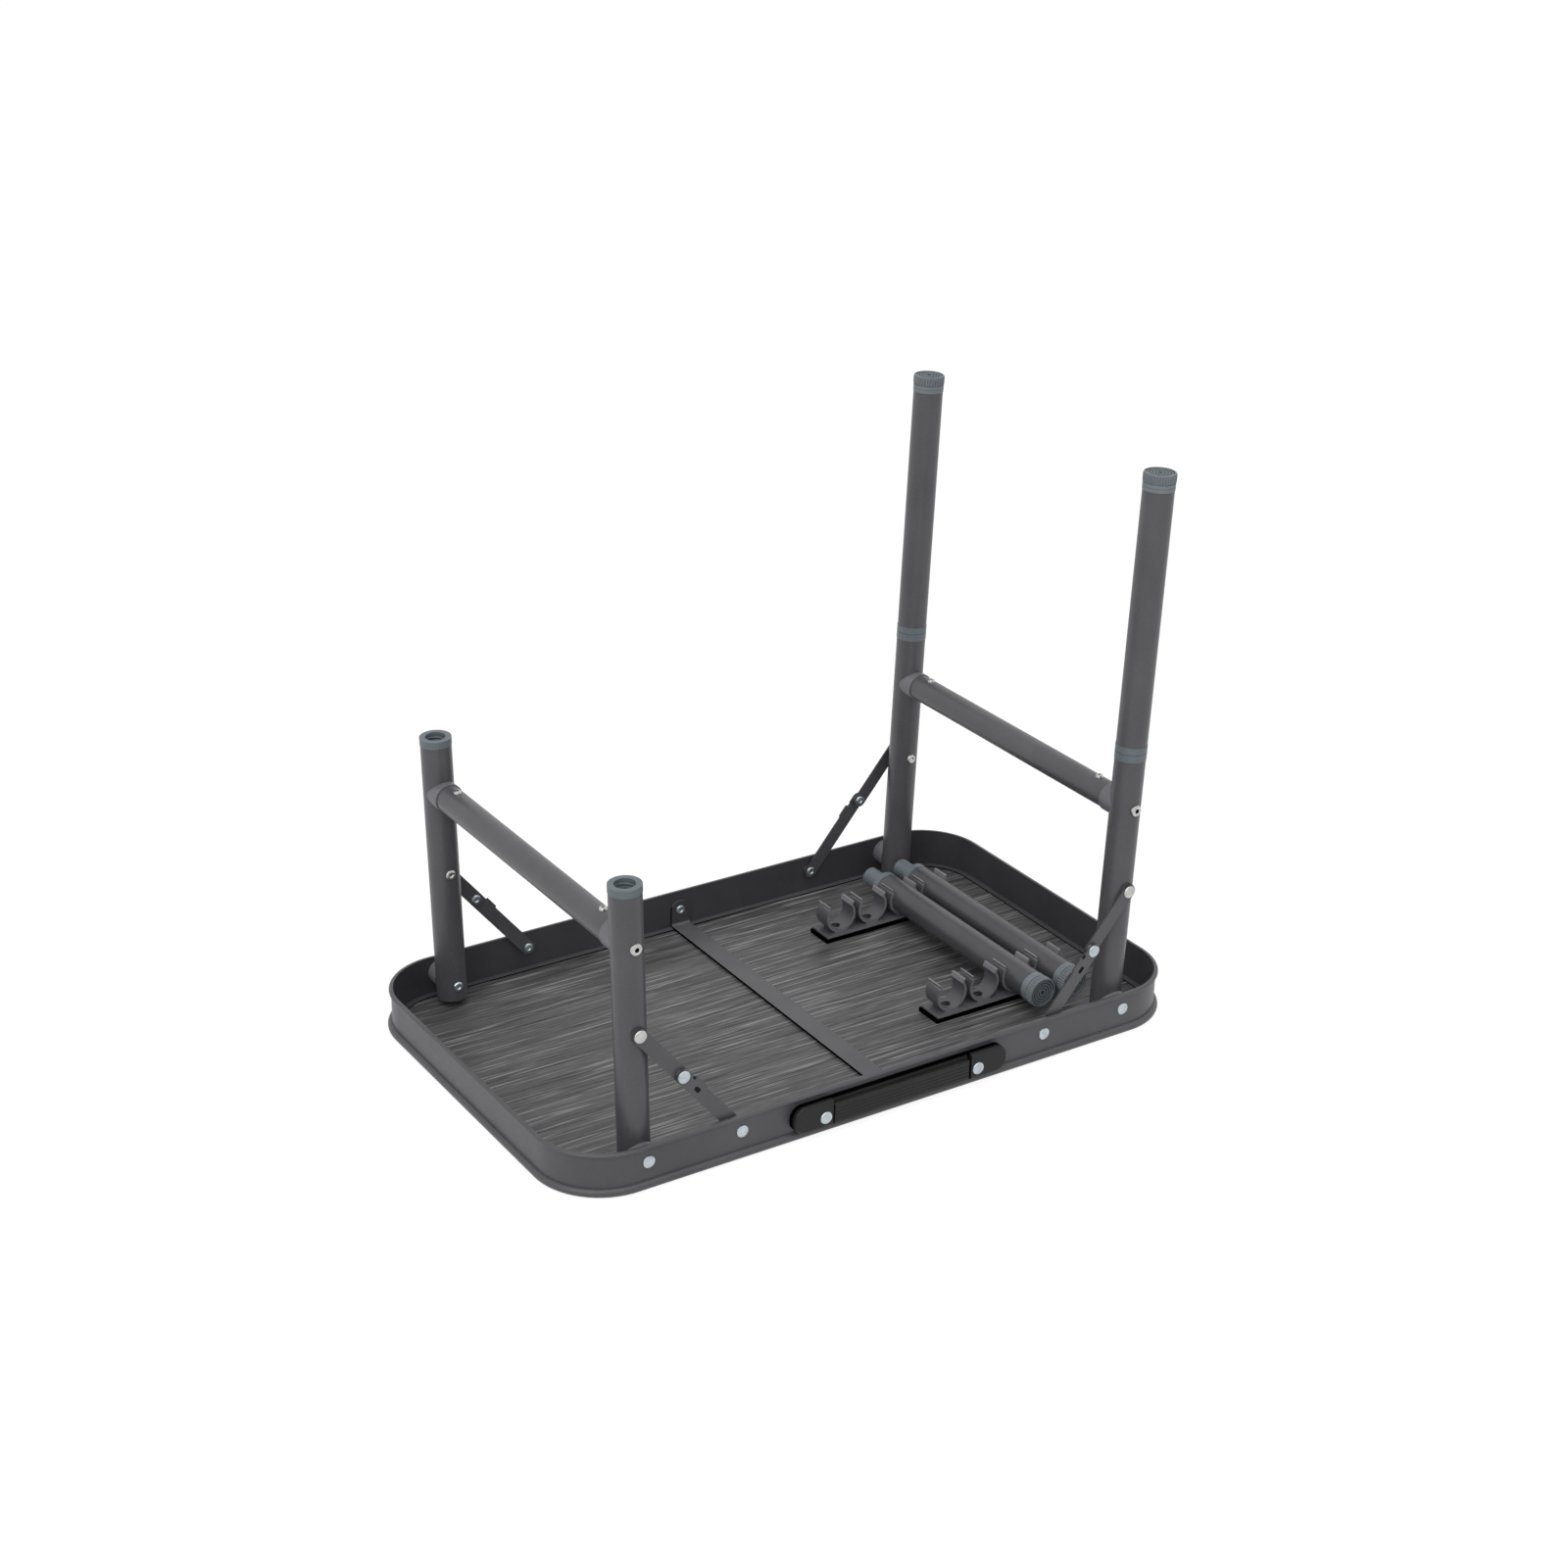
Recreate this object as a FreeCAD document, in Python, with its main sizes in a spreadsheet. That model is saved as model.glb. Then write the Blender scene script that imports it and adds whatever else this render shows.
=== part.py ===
"""Folding camping table with screw-on leg extensions, lying on its top with the legs up.

Frame: the origin is the middle of the table-top face, +Z runs from that face up to the feet,
+X along the long side and +Y from the handle side to the far side. Millimetres throughout.
"""
import FreeCAD, Part
import math
import os

import Sketcher

SHEET_NAME = "Sizes"

DRIVING = {
    # table top
    "table_length": 650.0,
    "table_depth": 392.0,
    "corner_radius": 64.0,
    "rim_height": 41.0,
    "wall": 1.8,
    "bead_radius": 4.0,
    "lip_radius": 2.0,
    "panel_thickness": 3.0,
    "panel_gap": 0.2,
    "ledge_width": 6.0,
    "ledge_thickness": 1.2,
    # strip across the middle
    "strip_x": 8.5,
    "strip_width": 20.0,
    "strip_thickness": 2.0,
    "strip_rivet_z": 21.4,
    "strip_bend": 2.5,
    # leg frames
    "pivot_inset": 75.0,
    "pivot_z": 25.4,
    "splay_angle": 1.75,
    "leg_inset": 28.5,
    "tube_diameter": 28.0,
    "tube_wall": 1.2,
    "leg_tail": 15.0,
    "leg_above_cross": 46.0,
    "cross_height": 194.0,
    "cross_diameter": 25.0,
    "saddle_neck": 7.0,
    "saddle_flange": 1.0,
    "saddle_spigot": 34.0,
    "cross_screw_inset": 24.0,
    "spacer_radius": 12.5,
    "spacer_gap": 0.4,
    "spacer_seat": 8.0,
    # screwed leg joint
    "collar_height": 6.8,
    "collar_proud": 0.3,
    "socket_bore": 18.0,
    "socket_depth": 28.0,
    "socket_floor": 3.0,
    "stub_length": 25.5,
    "stub_clearance": 0.08,
    "joint_gap": 0.1,
    # leg extensions
    "extension_room": 135.8,
    "foot_collar": 6.0,
    "foot_pad": 9.5,
    "foot_proud": 0.6,
    "foot_ring_depth": 1.2,
    "plug_depth": 20.0,
    # folding stays
    "stay_run": 90.5,
    "stay_z": 25.8,
    "stay_leg_reach": 115.0,
    "link_width": 13.4,
    "link_thickness": 1.6,
    "link_play": 0.1,
    "lug_height": 1.6,
    "lug_reach": 24.0,
    "notch_reach": 9.5,
    "notch_width": 4.4,
    "notch_depth": 2.2,
    "slot_reach": 20.5,
    "slot_length": 3.0,
    "slot_radius": 2.1,
    # rivets and screws
    "head_radius": 5.8,
    "head_height": 1.9,
    "inner_head_height": 1.2,
    "mid_head_height": 1.4,
    "head_gap": 1.5,
    "rim_washer": 1.9,
    "rivet_radius": 2.5,
    "pivot_radius": 3.5,
    "running_clearance": 0.05,
    "leg_head_gap": 0.3,
    "screw_head_radius": 5.2,
    "screw_head_height": 2.6,
    "small_head_radius": 3.4,
    # clips for the spare extensions
    "clip_first_inset": 194.0,
    "clip_pitch": 37.0,
    "clip_front_inset": 113.0,
    "clip_back_inset": 97.0,
    "clip_width": 19.0,
    "clip_wall": 2.4,
    "clip_clearance": 0.15,
    "clip_mouth_angle": 55.0,
    "clip_flare": 1.2,
    "clip_rise": 3.0,
    "clip_neck": 14.0,
    "rail_thickness": 2.5,
    "rail_overhang": 18.0,
    "pad_thickness": 4.0,
    "rail_margin": 3.5,
    "pad_margin": 1.5,
    "clip_screw_radius": 1.6,
    "clip_screw_head": 3.2,
    "clip_screw_sink": 2.0,
    "clip_screw_floor": 1.2,
    "stored_foot_inset": 63.0,
    # carrying handle
    "handle_half_length": 112.0,
    "handle_bottom": 8.5,
    "handle_height": 25.0,
    "handle_rivet_x": 80.4,
    "handle_rivet_z": 18.3,
    "handle_split_x": 73.0,
    "handle_split_gap": 1.1,
    "strap_drop": 2.4,
    "backing_thickness": 2.5,
    "tongue_thickness": 2.0,
    "cover_thickness": 4.5,
    "cover_round": 11.0,
    "handle_edge": 2.0,
    "strap_groove": 0.8,
}

CLIP_COUNT = 4
STORED_CLIPS = {"inner": 2, "outer": 3}
SIDES = {"front": -1, "back": 1}
FRAMES = {"left": -1, "right": 1}

doc = FreeCAD.newDocument("CampingTable")
sheet = doc.addObject("Spreadsheet::Sheet", SHEET_NAME)
sub_parts = []


class Size:
    """A size with its present value and the expression over the sheet that gives it."""

    def __init__(self, value, text):
        self.value = value
        self.text = text

    @staticmethod
    def of(number):
        """Returns a plain number as a Size, and a Size as it is."""
        if isinstance(number, Size):
            return number
        return Size(float(number), f"({float(number):.10g})")

    def joined(self, other, sign, value):
        """Returns the Size of two terms joined by an operator."""
        return Size(value, f"({self.text} {sign} {other.text})")

    def __add__(self, other):
        other = Size.of(other)
        return self.joined(other, "+", self.value + other.value)

    def __sub__(self, other):
        other = Size.of(other)
        return self.joined(other, "-", self.value - other.value)

    def __mul__(self, other):
        other = Size.of(other)
        return self.joined(other, "*", self.value * other.value)

    def __truediv__(self, other):
        other = Size.of(other)
        return self.joined(other, "/", self.value / other.value)

    def __neg__(self):
        return Size.of(0) - self

    def __radd__(self, other):
        return Size.of(other) + self

    def __rsub__(self, other):
        return Size.of(other) - self

    def __rmul__(self, other):
        return Size.of(other) * self


def sine(angle):
    """Sine of an angle in degrees."""
    return Size(math.sin(math.radians(angle.value)), f"sin({angle.text})")


def cosine(angle):
    """Cosine of an angle in degrees."""
    return Size(math.cos(math.radians(angle.value)), f"cos({angle.text})")


def root(square):
    """Square root."""
    return Size(math.sqrt(square.value), f"sqrt({square.text})")


def direction(rise, run):
    """Angle in degrees of a line with this rise and run."""
    value = math.degrees(math.atan2(rise.value, run.value))
    return Size(value, f"atan2({rise.text}; {run.text})")


class Sizes:
    """The driving dimensions, each a Size named as its cell in the sheet."""


for row, (alias, number) in enumerate(DRIVING.items(), start=1):
    sheet.set(f"A{row}", alias)
    sheet.set(f"B{row}", str(number))
    sheet.setAlias(f"B{row}", alias)
    setattr(Sizes, alias, Size(number, f"{SHEET_NAME}.{alias}"))
doc.recompute()
S = Sizes
ZERO = Size.of(0)

# Derived sizes of the rim and the table top
HALF_LENGTH = S.table_length / 2 - S.bead_radius - S.wall
HALF_DEPTH = S.table_depth / 2 - S.bead_radius - S.wall
INNER_CORNER = S.corner_radius - S.bead_radius - S.wall
WALL_OUTER = HALF_DEPTH + S.wall
LEDGE_TOP = S.panel_thickness + S.ledge_thickness
PIVOT_X = S.table_length / 2 - S.pivot_inset
STAY_X = PIVOT_X - S.stay_run
LEG_Y = S.table_depth / 2 - S.leg_inset
LEG_TUBE_END = S.cross_height + S.leg_above_cross
EXTENSION_LENGTH = S.table_depth - S.extension_room

# Derived sizes of tubes and leg joints
TUBE_R = S.tube_diameter / 2
TUBE_BORE_R = TUBE_R - S.tube_wall
COLLAR_R = TUBE_R + S.collar_proud
JOINT_PLANE = LEG_TUBE_END + S.collar_height
BORE_R = S.socket_bore / 2
STUB_R = BORE_R - S.stub_clearance
LEG_OUTER = LEG_Y + TUBE_R
LEG_INNER = LEG_Y - TUBE_R

# Stack across a stay, measured as distance from the middle plane of the table
LINK_SLAB = S.link_thickness + 2 * S.link_play
LOWER_OUT = HALF_DEPTH - S.rim_washer
LOWER_IN = LOWER_OUT - LINK_SLAB
UPPER_OUT = LOWER_IN - S.head_gap
UPPER_IN = UPPER_OUT - LINK_SLAB
MID_PLANE = LOWER_IN - S.head_gap / 2
MID_HALF_GAP = S.link_play / 2

# Stay pivots in the plane of the right-hand frame, which the left one mirrors
LEG_SIN = sine(S.splay_angle)
LEG_COS = cosine(S.splay_angle)
STAY_LEG_X = PIVOT_X + S.stay_leg_reach * LEG_SIN
STAY_LEG_Z = S.pivot_z + S.stay_leg_reach * LEG_COS
STAY_RUN = STAY_LEG_X - STAY_X
STAY_RISE = STAY_LEG_Z - S.stay_z
STAY_SPAN = root(STAY_RUN * STAY_RUN + STAY_RISE * STAY_RISE)
FOLDED_SPAN = S.stay_leg_reach - (PIVOT_X - STAY_X)
LOWER_LENGTH = (STAY_SPAN + FOLDED_SPAN) / 2
UPPER_LENGTH = STAY_SPAN - LOWER_LENGTH
MID_X = STAY_X + STAY_RUN * LOWER_LENGTH / STAY_SPAN
MID_Z = S.stay_z + STAY_RISE * LOWER_LENGTH / STAY_SPAN

# Cross tube of a leg frame
CROSS_X = PIVOT_X + S.cross_height * LEG_SIN
CROSS_Z = S.pivot_z + S.cross_height * LEG_COS
CROSS_R = S.cross_diameter / 2
CROSS_BORE_R = CROSS_R - S.tube_wall
CROSS_END = LEG_INNER - S.saddle_neck

# Clips for the stored extensions
PAD_TOP = S.panel_thickness + S.pad_thickness
RAIL_TOP = PAD_TOP + S.rail_thickness
CLIP_R = TUBE_R + S.clip_clearance
CLIP_OUTER_R = CLIP_R + S.clip_wall
CLIP_AXIS_Z = RAIL_TOP + CLIP_OUTER_R
CLIP_FLOOR = RAIL_TOP + S.clip_wall
CLIP_FIRST_X = S.table_length / 2 - S.clip_first_inset
CLIP_FRONT_Y = S.clip_front_inset - S.table_depth / 2
CLIP_BACK_Y = S.table_depth / 2 - S.clip_back_inset
STORED_FOOT_Y = S.stored_foot_inset - S.table_depth / 2
RAIL_START = CLIP_FIRST_X - S.rail_overhang
RAIL_END = CLIP_FIRST_X + S.clip_pitch * (CLIP_COUNT - 1) + S.rail_overhang

# Handle
HANDLE_TOP = S.handle_bottom + S.handle_height
HANDLE_BACK = WALL_OUTER + S.backing_thickness
TONGUE_FACE = HANDLE_BACK + S.tongue_thickness
HANDLE_FACE = TONGUE_FACE + S.cover_thickness


def bind(thing, prop, size):
    """Ties a property to an expression over the sheet."""
    thing.setExpression(prop, Size.of(size).text)


def keep(thing, label):
    """Names a finished sub-part, whose label is its file's name."""
    thing.Label = label
    sub_parts.append(thing)
    return thing


def place(thing, at, axis=None, angle=None):
    """Puts a sub-part at a point, turned about an axis by a fixed or bound angle."""
    if axis is not None:
        turn = angle.value if isinstance(angle, Size) else angle
        thing.Placement = FreeCAD.Placement(FreeCAD.Vector(), FreeCAD.Rotation(FreeCAD.Vector(*axis), turn))
        if isinstance(angle, Size):
            bind(thing, "Placement.Rotation.Angle", angle)
    for name, value in zip("xyz", at):
        bind(thing, f"Placement.Base.{name}", value)
    return thing


def new_body(name):
    """Starts a PartDesign body."""
    return doc.addObject("PartDesign::Body", name)


def new_sketch(body, plane, offset=ZERO):
    """Starts a sketch on one of the body's origin planes, moved along the plane's normal."""
    sketch = body.newObject("Sketcher::SketchObject", body.Name + "_sketch")
    support = [item for item in body.Origin.OriginFeatures if item.Role == plane][0]
    sketch.AttachmentSupport = [(support, "")]
    sketch.MapMode = "FlatFace"
    bind(sketch, "AttachmentOffset.Base.z", offset)
    return sketch


def fix_point(sketch, geometry, position, x, y):
    """Ties a sketch point to two coordinates; a coordinate of None stays free."""
    for kind, axis, size in (("DistanceX", -2, x), ("DistanceY", -1, y)):
        if size is None:
            continue
        if size is ZERO:
            sketch.addConstraint(Sketcher.Constraint("PointOnObject", geometry, position, axis))
            continue
        index = sketch.addConstraint(
            Sketcher.Constraint(kind, -1, 1, geometry, position, size.value)
        )
        bind(sketch, f"Constraints[{index}]", size)


def arc_between(start, end, middle, turn):
    """Returns a sketch arc about a centre, and which of its ends comes first on the outline."""
    radius = start.distanceToPoint(middle)
    first = math.atan2(start.y - middle.y, start.x - middle.x)
    last = math.atan2(end.y - middle.y, end.x - middle.x)
    circle = Part.Circle(middle, FreeCAD.Vector(0, 0, 1), radius)
    if turn > 0:
        return Part.ArcOfCircle(circle, first, last), 1, 2
    return Part.ArcOfCircle(circle, last, first), 2, 1


def draw(sketch, outline):
    """Adds a closed outline. A corner is (x, y), or (x, y, centre x, centre y, turn) before an arc.

    The turn is 1 for an arc that runs anticlockwise and -1 for one that runs clockwise.
    """
    outline = [tuple(part if index == 4 else Size.of(part) if part is not ZERO else ZERO
                     for index, part in enumerate(corner)) for corner in outline]
    points = [FreeCAD.Vector(corner[0].value, corner[1].value, 0) for corner in outline]
    runs = []
    for index, corner in enumerate(outline):
        start = points[index]
        end = points[(index + 1) % len(points)]
        if len(corner) == 2:
            runs.append((sketch.addGeometry(Part.LineSegment(start, end)), 1, 2))
            continue
        middle = FreeCAD.Vector(corner[2].value, corner[3].value, 0)
        arc, first, last = arc_between(start, end, middle, corner[4])
        runs.append((sketch.addGeometry(arc), first, last))
    for index, (geometry, first, last) in enumerate(runs):
        following, follow_first, _ = runs[(index + 1) % len(runs)]
        sketch.addConstraint(Sketcher.Constraint("Coincident", geometry, last, following, follow_first))
        fix_point(sketch, geometry, first, outline[index][0], outline[index][1])
        if len(outline[index]) == 5:
            chord = points[(index + 1) % len(points)] - points[index]
            if abs(chord.y) >= abs(chord.x):
                fix_point(sketch, geometry, 3, outline[index][2], None)
            else:
                fix_point(sketch, geometry, 3, None, outline[index][3])


def ring(sketch, x, y, radius):
    """Adds a full circle, such as a hole in a plate."""
    middle = FreeCAD.Vector(Size.of(x).value, Size.of(y).value, 0)
    circle = Part.Circle(middle, FreeCAD.Vector(0, 0, 1), radius.value)
    geometry = sketch.addGeometry(circle)
    fix_point(sketch, geometry, 3, x, y)
    index = sketch.addConstraint(Sketcher.Constraint("Radius", geometry, radius.value))
    bind(sketch, f"Constraints[{index}]", radius)


def stadium(left, right, half_width, middle_y=ZERO):
    """Outline of a bar with round ends between two centres on a level line."""
    low = middle_y - half_width
    high = middle_y + half_width
    return [
        (left, low),
        (right, low, right, middle_y, 1),
        (right, high),
        (left, high, left, middle_y, 1),
    ]


def rounded_box(x0, x1, y0, y1, radius):
    """Outline of a rectangle with four round corners."""
    return [
        (x0 + radius, y0),
        (x1 - radius, y0, x1 - radius, y0 + radius, 1),
        (x1, y0 + radius),
        (x1, y1 - radius, x1 - radius, y1 - radius, 1),
        (x1 - radius, y1),
        (x0 + radius, y1, x0 + radius, y1 - radius, 1),
        (x0, y1 - radius),
        (x0, y0 + radius, x0 + radius, y0 + radius, 1),
    ]


def extrude(body, sketch, length, backwards=False):
    """Pads a sketch along its normal, or against it."""
    pad = body.newObject("PartDesign::Pad", body.Name + "_pad")
    pad.Profile = sketch
    bind(pad, "Length", length)
    pad.Reversed = backwards
    sketch.Visibility = False
    return pad


def upright_plate(name, side, near, far, outlines, holes=()):
    """A plate that stands along X and Z, from one distance to another on one side of the table."""
    body = new_body(name)
    sketch = new_sketch(body, "XZ_Plane", -side * near)
    for outline in outlines:
        draw(sketch, outline)
    for hole in holes:
        ring(sketch, *hole)
    extrude(body, sketch, far - near, backwards=side > 0)
    return body


def turned(name, profile):
    """A solid of revolution about its own Z from a profile of radius and height."""
    body = new_body(name)
    sketch = new_sketch(body, "XZ_Plane")
    draw(sketch, profile)
    revolution = body.newObject("PartDesign::Revolution", name + "_turn")
    revolution.Profile = sketch
    revolution.ReferenceAxis = (sketch, ["V_Axis"])
    revolution.Angle = 360
    sketch.Visibility = False
    return body


def across(thing, side, x, z):
    """Turns a solid's own Z to point out of one side of the table."""
    return place(thing, (x, ZERO, z), (1, 0, 0), -90 * side)


def along_leg(thing, frame, side):
    """Puts a solid on a leg's axis, with its own Z up the leg from the pivot."""
    at = (FRAMES[frame] * PIVOT_X, SIDES[side] * LEG_Y, S.pivot_z)
    return place(thing, at, (0, FRAMES[frame], 0), S.splay_angle)


def cylinder(name, radius, length):
    """A plain cylinder that cuts others."""
    thing = doc.addObject("Part::Cylinder", name)
    bind(thing, "Radius", radius)
    bind(thing, "Height", length)
    return thing


def drill(name, radius, near, far, side, x, z):
    """A cutting cylinder that runs out of one side of the table between two distances."""
    tool = cylinder(name, radius, far - near)
    return place(tool, (x, side * near, z), (1, 0, 0), -90 * side)


def cut(name, base, tools):
    """Takes the tools away from a solid, all at once."""
    tool = tools[0]
    if len(tools) > 1:
        tool = doc.addObject("Part::MultiFuse", name + "_tools")
        tool.Shapes = tools
    thing = doc.addObject("Part::Cut", name)
    thing.Base = base
    thing.Tool = tool
    return thing


def group(label, members):
    """Several like pieces in one node, as separate solids."""
    thing = doc.addObject("Part::Compound", label)
    thing.Links = members
    return keep(thing, label)


def leg_cutter(name, frame, side):
    """A cylinder the size of a leg tube, on that leg's axis."""
    tool = cylinder(name, TUBE_R, S.leg_tail + JOINT_PLANE)
    low = -S.leg_tail
    at = (
        FRAMES[frame] * (PIVOT_X + low * LEG_SIN),
        SIDES[side] * LEG_Y,
        S.pivot_z + low * LEG_COS,
    )
    return place(tool, at, (0, FRAMES[frame], 0), S.splay_angle)


def head(radius, seat, top):
    """Corners of a rivet head: a flat disc with a sloped shoulder, outward from its seat."""
    shoulder = (top - seat) * 0.45
    return [(radius, seat), (radius, seat + shoulder), (radius - (top - seat - shoulder) * 1.6, top)]


def rivet(name, shank, inner_seat, inner_height, outer_seat, outer_height):
    """A rivet with a head at each end; heights of zero leave that end flush."""
    radius = S.head_radius
    profile = [(ZERO, inner_seat - inner_height)]
    if inner_height is not ZERO:
        profile += [(radius - inner_height, inner_seat - inner_height),
                    (radius, inner_seat - inner_height / 2), (radius, inner_seat)]
    profile += [(shank, inner_seat), (shank, outer_seat)]
    if outer_height is not ZERO:
        profile += head(radius, outer_seat, outer_seat + outer_height)
    profile += [(ZERO, outer_seat + outer_height)]
    return turned(name, profile)


def build_table_top():
    """Board, rim and the strip across the middle."""
    body = new_body("panel_board")
    sketch = new_sketch(body, "XY_Plane")
    reach_x = HALF_LENGTH - S.panel_gap
    reach_y = HALF_DEPTH - S.panel_gap
    draw(sketch, rounded_box(-reach_x, reach_x, -reach_y, reach_y, INNER_CORNER - S.panel_gap))
    extrude(body, sketch, S.panel_thickness)
    keep(cut("panel", body, clip_screw_tools("panel", S.clip_screw_floor, PAD_TOP)), "table_panel")

    body = new_body("rim_hoop")
    path = new_sketch(body, "XY_Plane")
    straight_x = HALF_LENGTH - INNER_CORNER
    straight_y = HALF_DEPTH - INNER_CORNER
    draw(path, [
        (HALF_LENGTH, ZERO),
        (HALF_LENGTH, straight_y, straight_x, straight_y, 1),
        (straight_x, HALF_DEPTH),
        (-straight_x, HALF_DEPTH, -straight_x, straight_y, 1),
        (-HALF_LENGTH, straight_y),
        (-HALF_LENGTH, -straight_y, -straight_x, -straight_y, 1),
        (-straight_x, -HALF_DEPTH),
        (straight_x, -HALF_DEPTH, straight_x, -straight_y, 1),
        (HALF_LENGTH, -straight_y),
    ])
    section = new_sketch(body, "XZ_Plane")
    outer = HALF_LENGTH + S.wall
    draw(section, [
        (HALF_LENGTH, ZERO),
        (outer, ZERO, outer, S.bead_radius, 1),
        (outer, 2 * S.bead_radius),
        (outer, S.rim_height - 2 * S.lip_radius, outer, S.rim_height - S.lip_radius, 1),
        (outer, S.rim_height),
        (HALF_LENGTH, S.rim_height),
        (HALF_LENGTH, LEDGE_TOP),
        (HALF_LENGTH - S.ledge_width, LEDGE_TOP),
        (HALF_LENGTH - S.ledge_width, S.panel_thickness),
        (HALF_LENGTH, S.panel_thickness),
    ])
    doc.recompute()
    pipe = body.newObject("PartDesign::AdditivePipe", "rim_bend")
    pipe.Profile = section
    pipe.Spine = (path, [f"Edge{index + 1}" for index in range(len(path.Shape.Edges))])
    holes = []
    for side_name, side in SIDES.items():
        for frame_name, frame in FRAMES.items():
            tag = f"rim_{side_name}_{frame_name}"
            holes.append(drill(tag + "_pivot_hole", S.pivot_radius, HALF_DEPTH - S.wall,
                               WALL_OUTER + S.wall, side, frame * PIVOT_X, S.pivot_z))
            holes.append(drill(tag + "_stay_hole", S.rivet_radius, HALF_DEPTH - S.wall,
                               WALL_OUTER + S.wall, side, frame * STAY_X, S.stay_z))
        holes.append(drill(f"rim_{side_name}_strip_hole", S.rivet_radius, HALF_DEPTH - S.wall,
                           WALL_OUTER + S.wall, side, S.strip_x, S.strip_rivet_z))
    for frame_name, frame in FRAMES.items():
        holes.append(drill(f"rim_handle_{frame_name}_hole", S.rivet_radius, HALF_DEPTH - S.wall,
                           WALL_OUTER + S.wall, -1, frame * S.handle_rivet_x, S.handle_rivet_z))
    keep(cut("rim", body, holes), "rim_profile")
    build_centre_strip()


def build_centre_strip():
    """Flat bar on the rim's ledge, with round-topped ends bent up against the rim."""
    body = new_body("strip_bar")
    sketch = new_sketch(body, "YZ_Plane", S.strip_x - S.strip_width / 2)
    low = LEDGE_TOP
    top = S.strip_rivet_z + S.strip_width / 2
    thick = S.strip_thickness
    bend = S.strip_bend
    end = HALF_DEPTH
    draw(sketch, [
        (-end + bend + thick, low),
        (end - bend - thick, low, end - bend - thick, low + bend + thick, 1),
        (end, low + bend + thick),
        (end, top),
        (end - thick, top),
        (end - thick, low + bend + thick, end - thick - bend, low + bend + thick, -1),
        (end - thick - bend, low + thick),
        (-end + thick + bend, low + thick, -end + thick + bend, low + bend + thick, -1),
        (-end + thick, low + bend + thick),
        (-end + thick, top),
        (-end, top),
        (-end, low + bend + thick, -end + bend + thick, low + bend + thick, 1),
    ])
    extrude(body, sketch, S.strip_width)
    outline = upright_plate("strip_outline", 1, -HALF_DEPTH, HALF_DEPTH, [[
        (S.strip_x - S.strip_width / 2, ZERO),
        (S.strip_x + S.strip_width / 2, ZERO),
        (S.strip_x + S.strip_width / 2, S.strip_rivet_z, S.strip_x, S.strip_rivet_z, 1),
        (S.strip_x - S.strip_width / 2, S.strip_rivet_z),
    ]], [(S.strip_x, S.strip_rivet_z, S.rivet_radius)])
    strip = doc.addObject("Part::Common", "strip")
    strip.Base = body
    strip.Tool = outline
    keep(strip, "centre_strip")


def build_rim_rivets():
    """Rivets that stay with the rim: leg pivots, stay ends, the strip and the handle."""
    pivots = []
    stays = []
    plain = []
    for side_name, side in SIDES.items():
        for frame_name, frame in FRAMES.items():
            tag = f"{frame_name}_{side_name}"
            pivot = rivet(tag + "_pivot", S.pivot_radius, LEG_INNER - S.leg_head_gap,
                          S.head_gap, WALL_OUTER, S.head_height)
            pivots.append(across(pivot, side, frame * PIVOT_X, S.pivot_z))
            stay = rivet(tag + "_stay_rivet", S.rivet_radius, LOWER_IN, S.inner_head_height,
                         WALL_OUTER, S.head_height)
            stays.append(across(stay, side, frame * STAY_X, S.stay_z))
            washer = turned(tag + "_stay_washer", [
                (S.rivet_radius, LOWER_OUT), (S.head_radius, LOWER_OUT),
                (S.head_radius, HALF_DEPTH), (S.rivet_radius, HALF_DEPTH),
            ])
            stays.append(across(washer, side, frame * STAY_X, S.stay_z))
        strip = rivet(f"{side_name}_strip_rivet", S.rivet_radius, HALF_DEPTH - S.strip_thickness,
                      S.inner_head_height, WALL_OUTER, S.head_height)
        plain.append(across(strip, side, S.strip_x, S.strip_rivet_z))
    for frame_name, frame in FRAMES.items():
        handle = rivet(f"{frame_name}_handle_rivet", S.rivet_radius, HALF_DEPTH, ZERO,
                       HANDLE_FACE, S.inner_head_height)
        plain.append(across(handle, -1, frame * S.handle_rivet_x, S.handle_rivet_z))
    group("pivot_rivets", pivots)
    group("stay_rim_rivets", stays)
    group("rim_rivets", plain)


def clip_places():
    """Yields the name, y and x of every clip."""
    for side in SIDES:
        y = CLIP_FRONT_Y if side == "front" else CLIP_BACK_Y
        for number in range(CLIP_COUNT):
            yield f"{side}_{number + 1}", y, CLIP_FIRST_X + S.clip_pitch * number


def clip_screw_tools(owner, low, high, side=None):
    """Cutting cylinders for the clip screws of one side, or of both."""
    tools = []
    for name, y, x in clip_places():
        if side is None or name.startswith(side):
            tool = cylinder(f"{owner}_{name}_hole", S.clip_screw_radius, high - low)
            tools.append(place(tool, (x, y, low)))
    return tools


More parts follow.
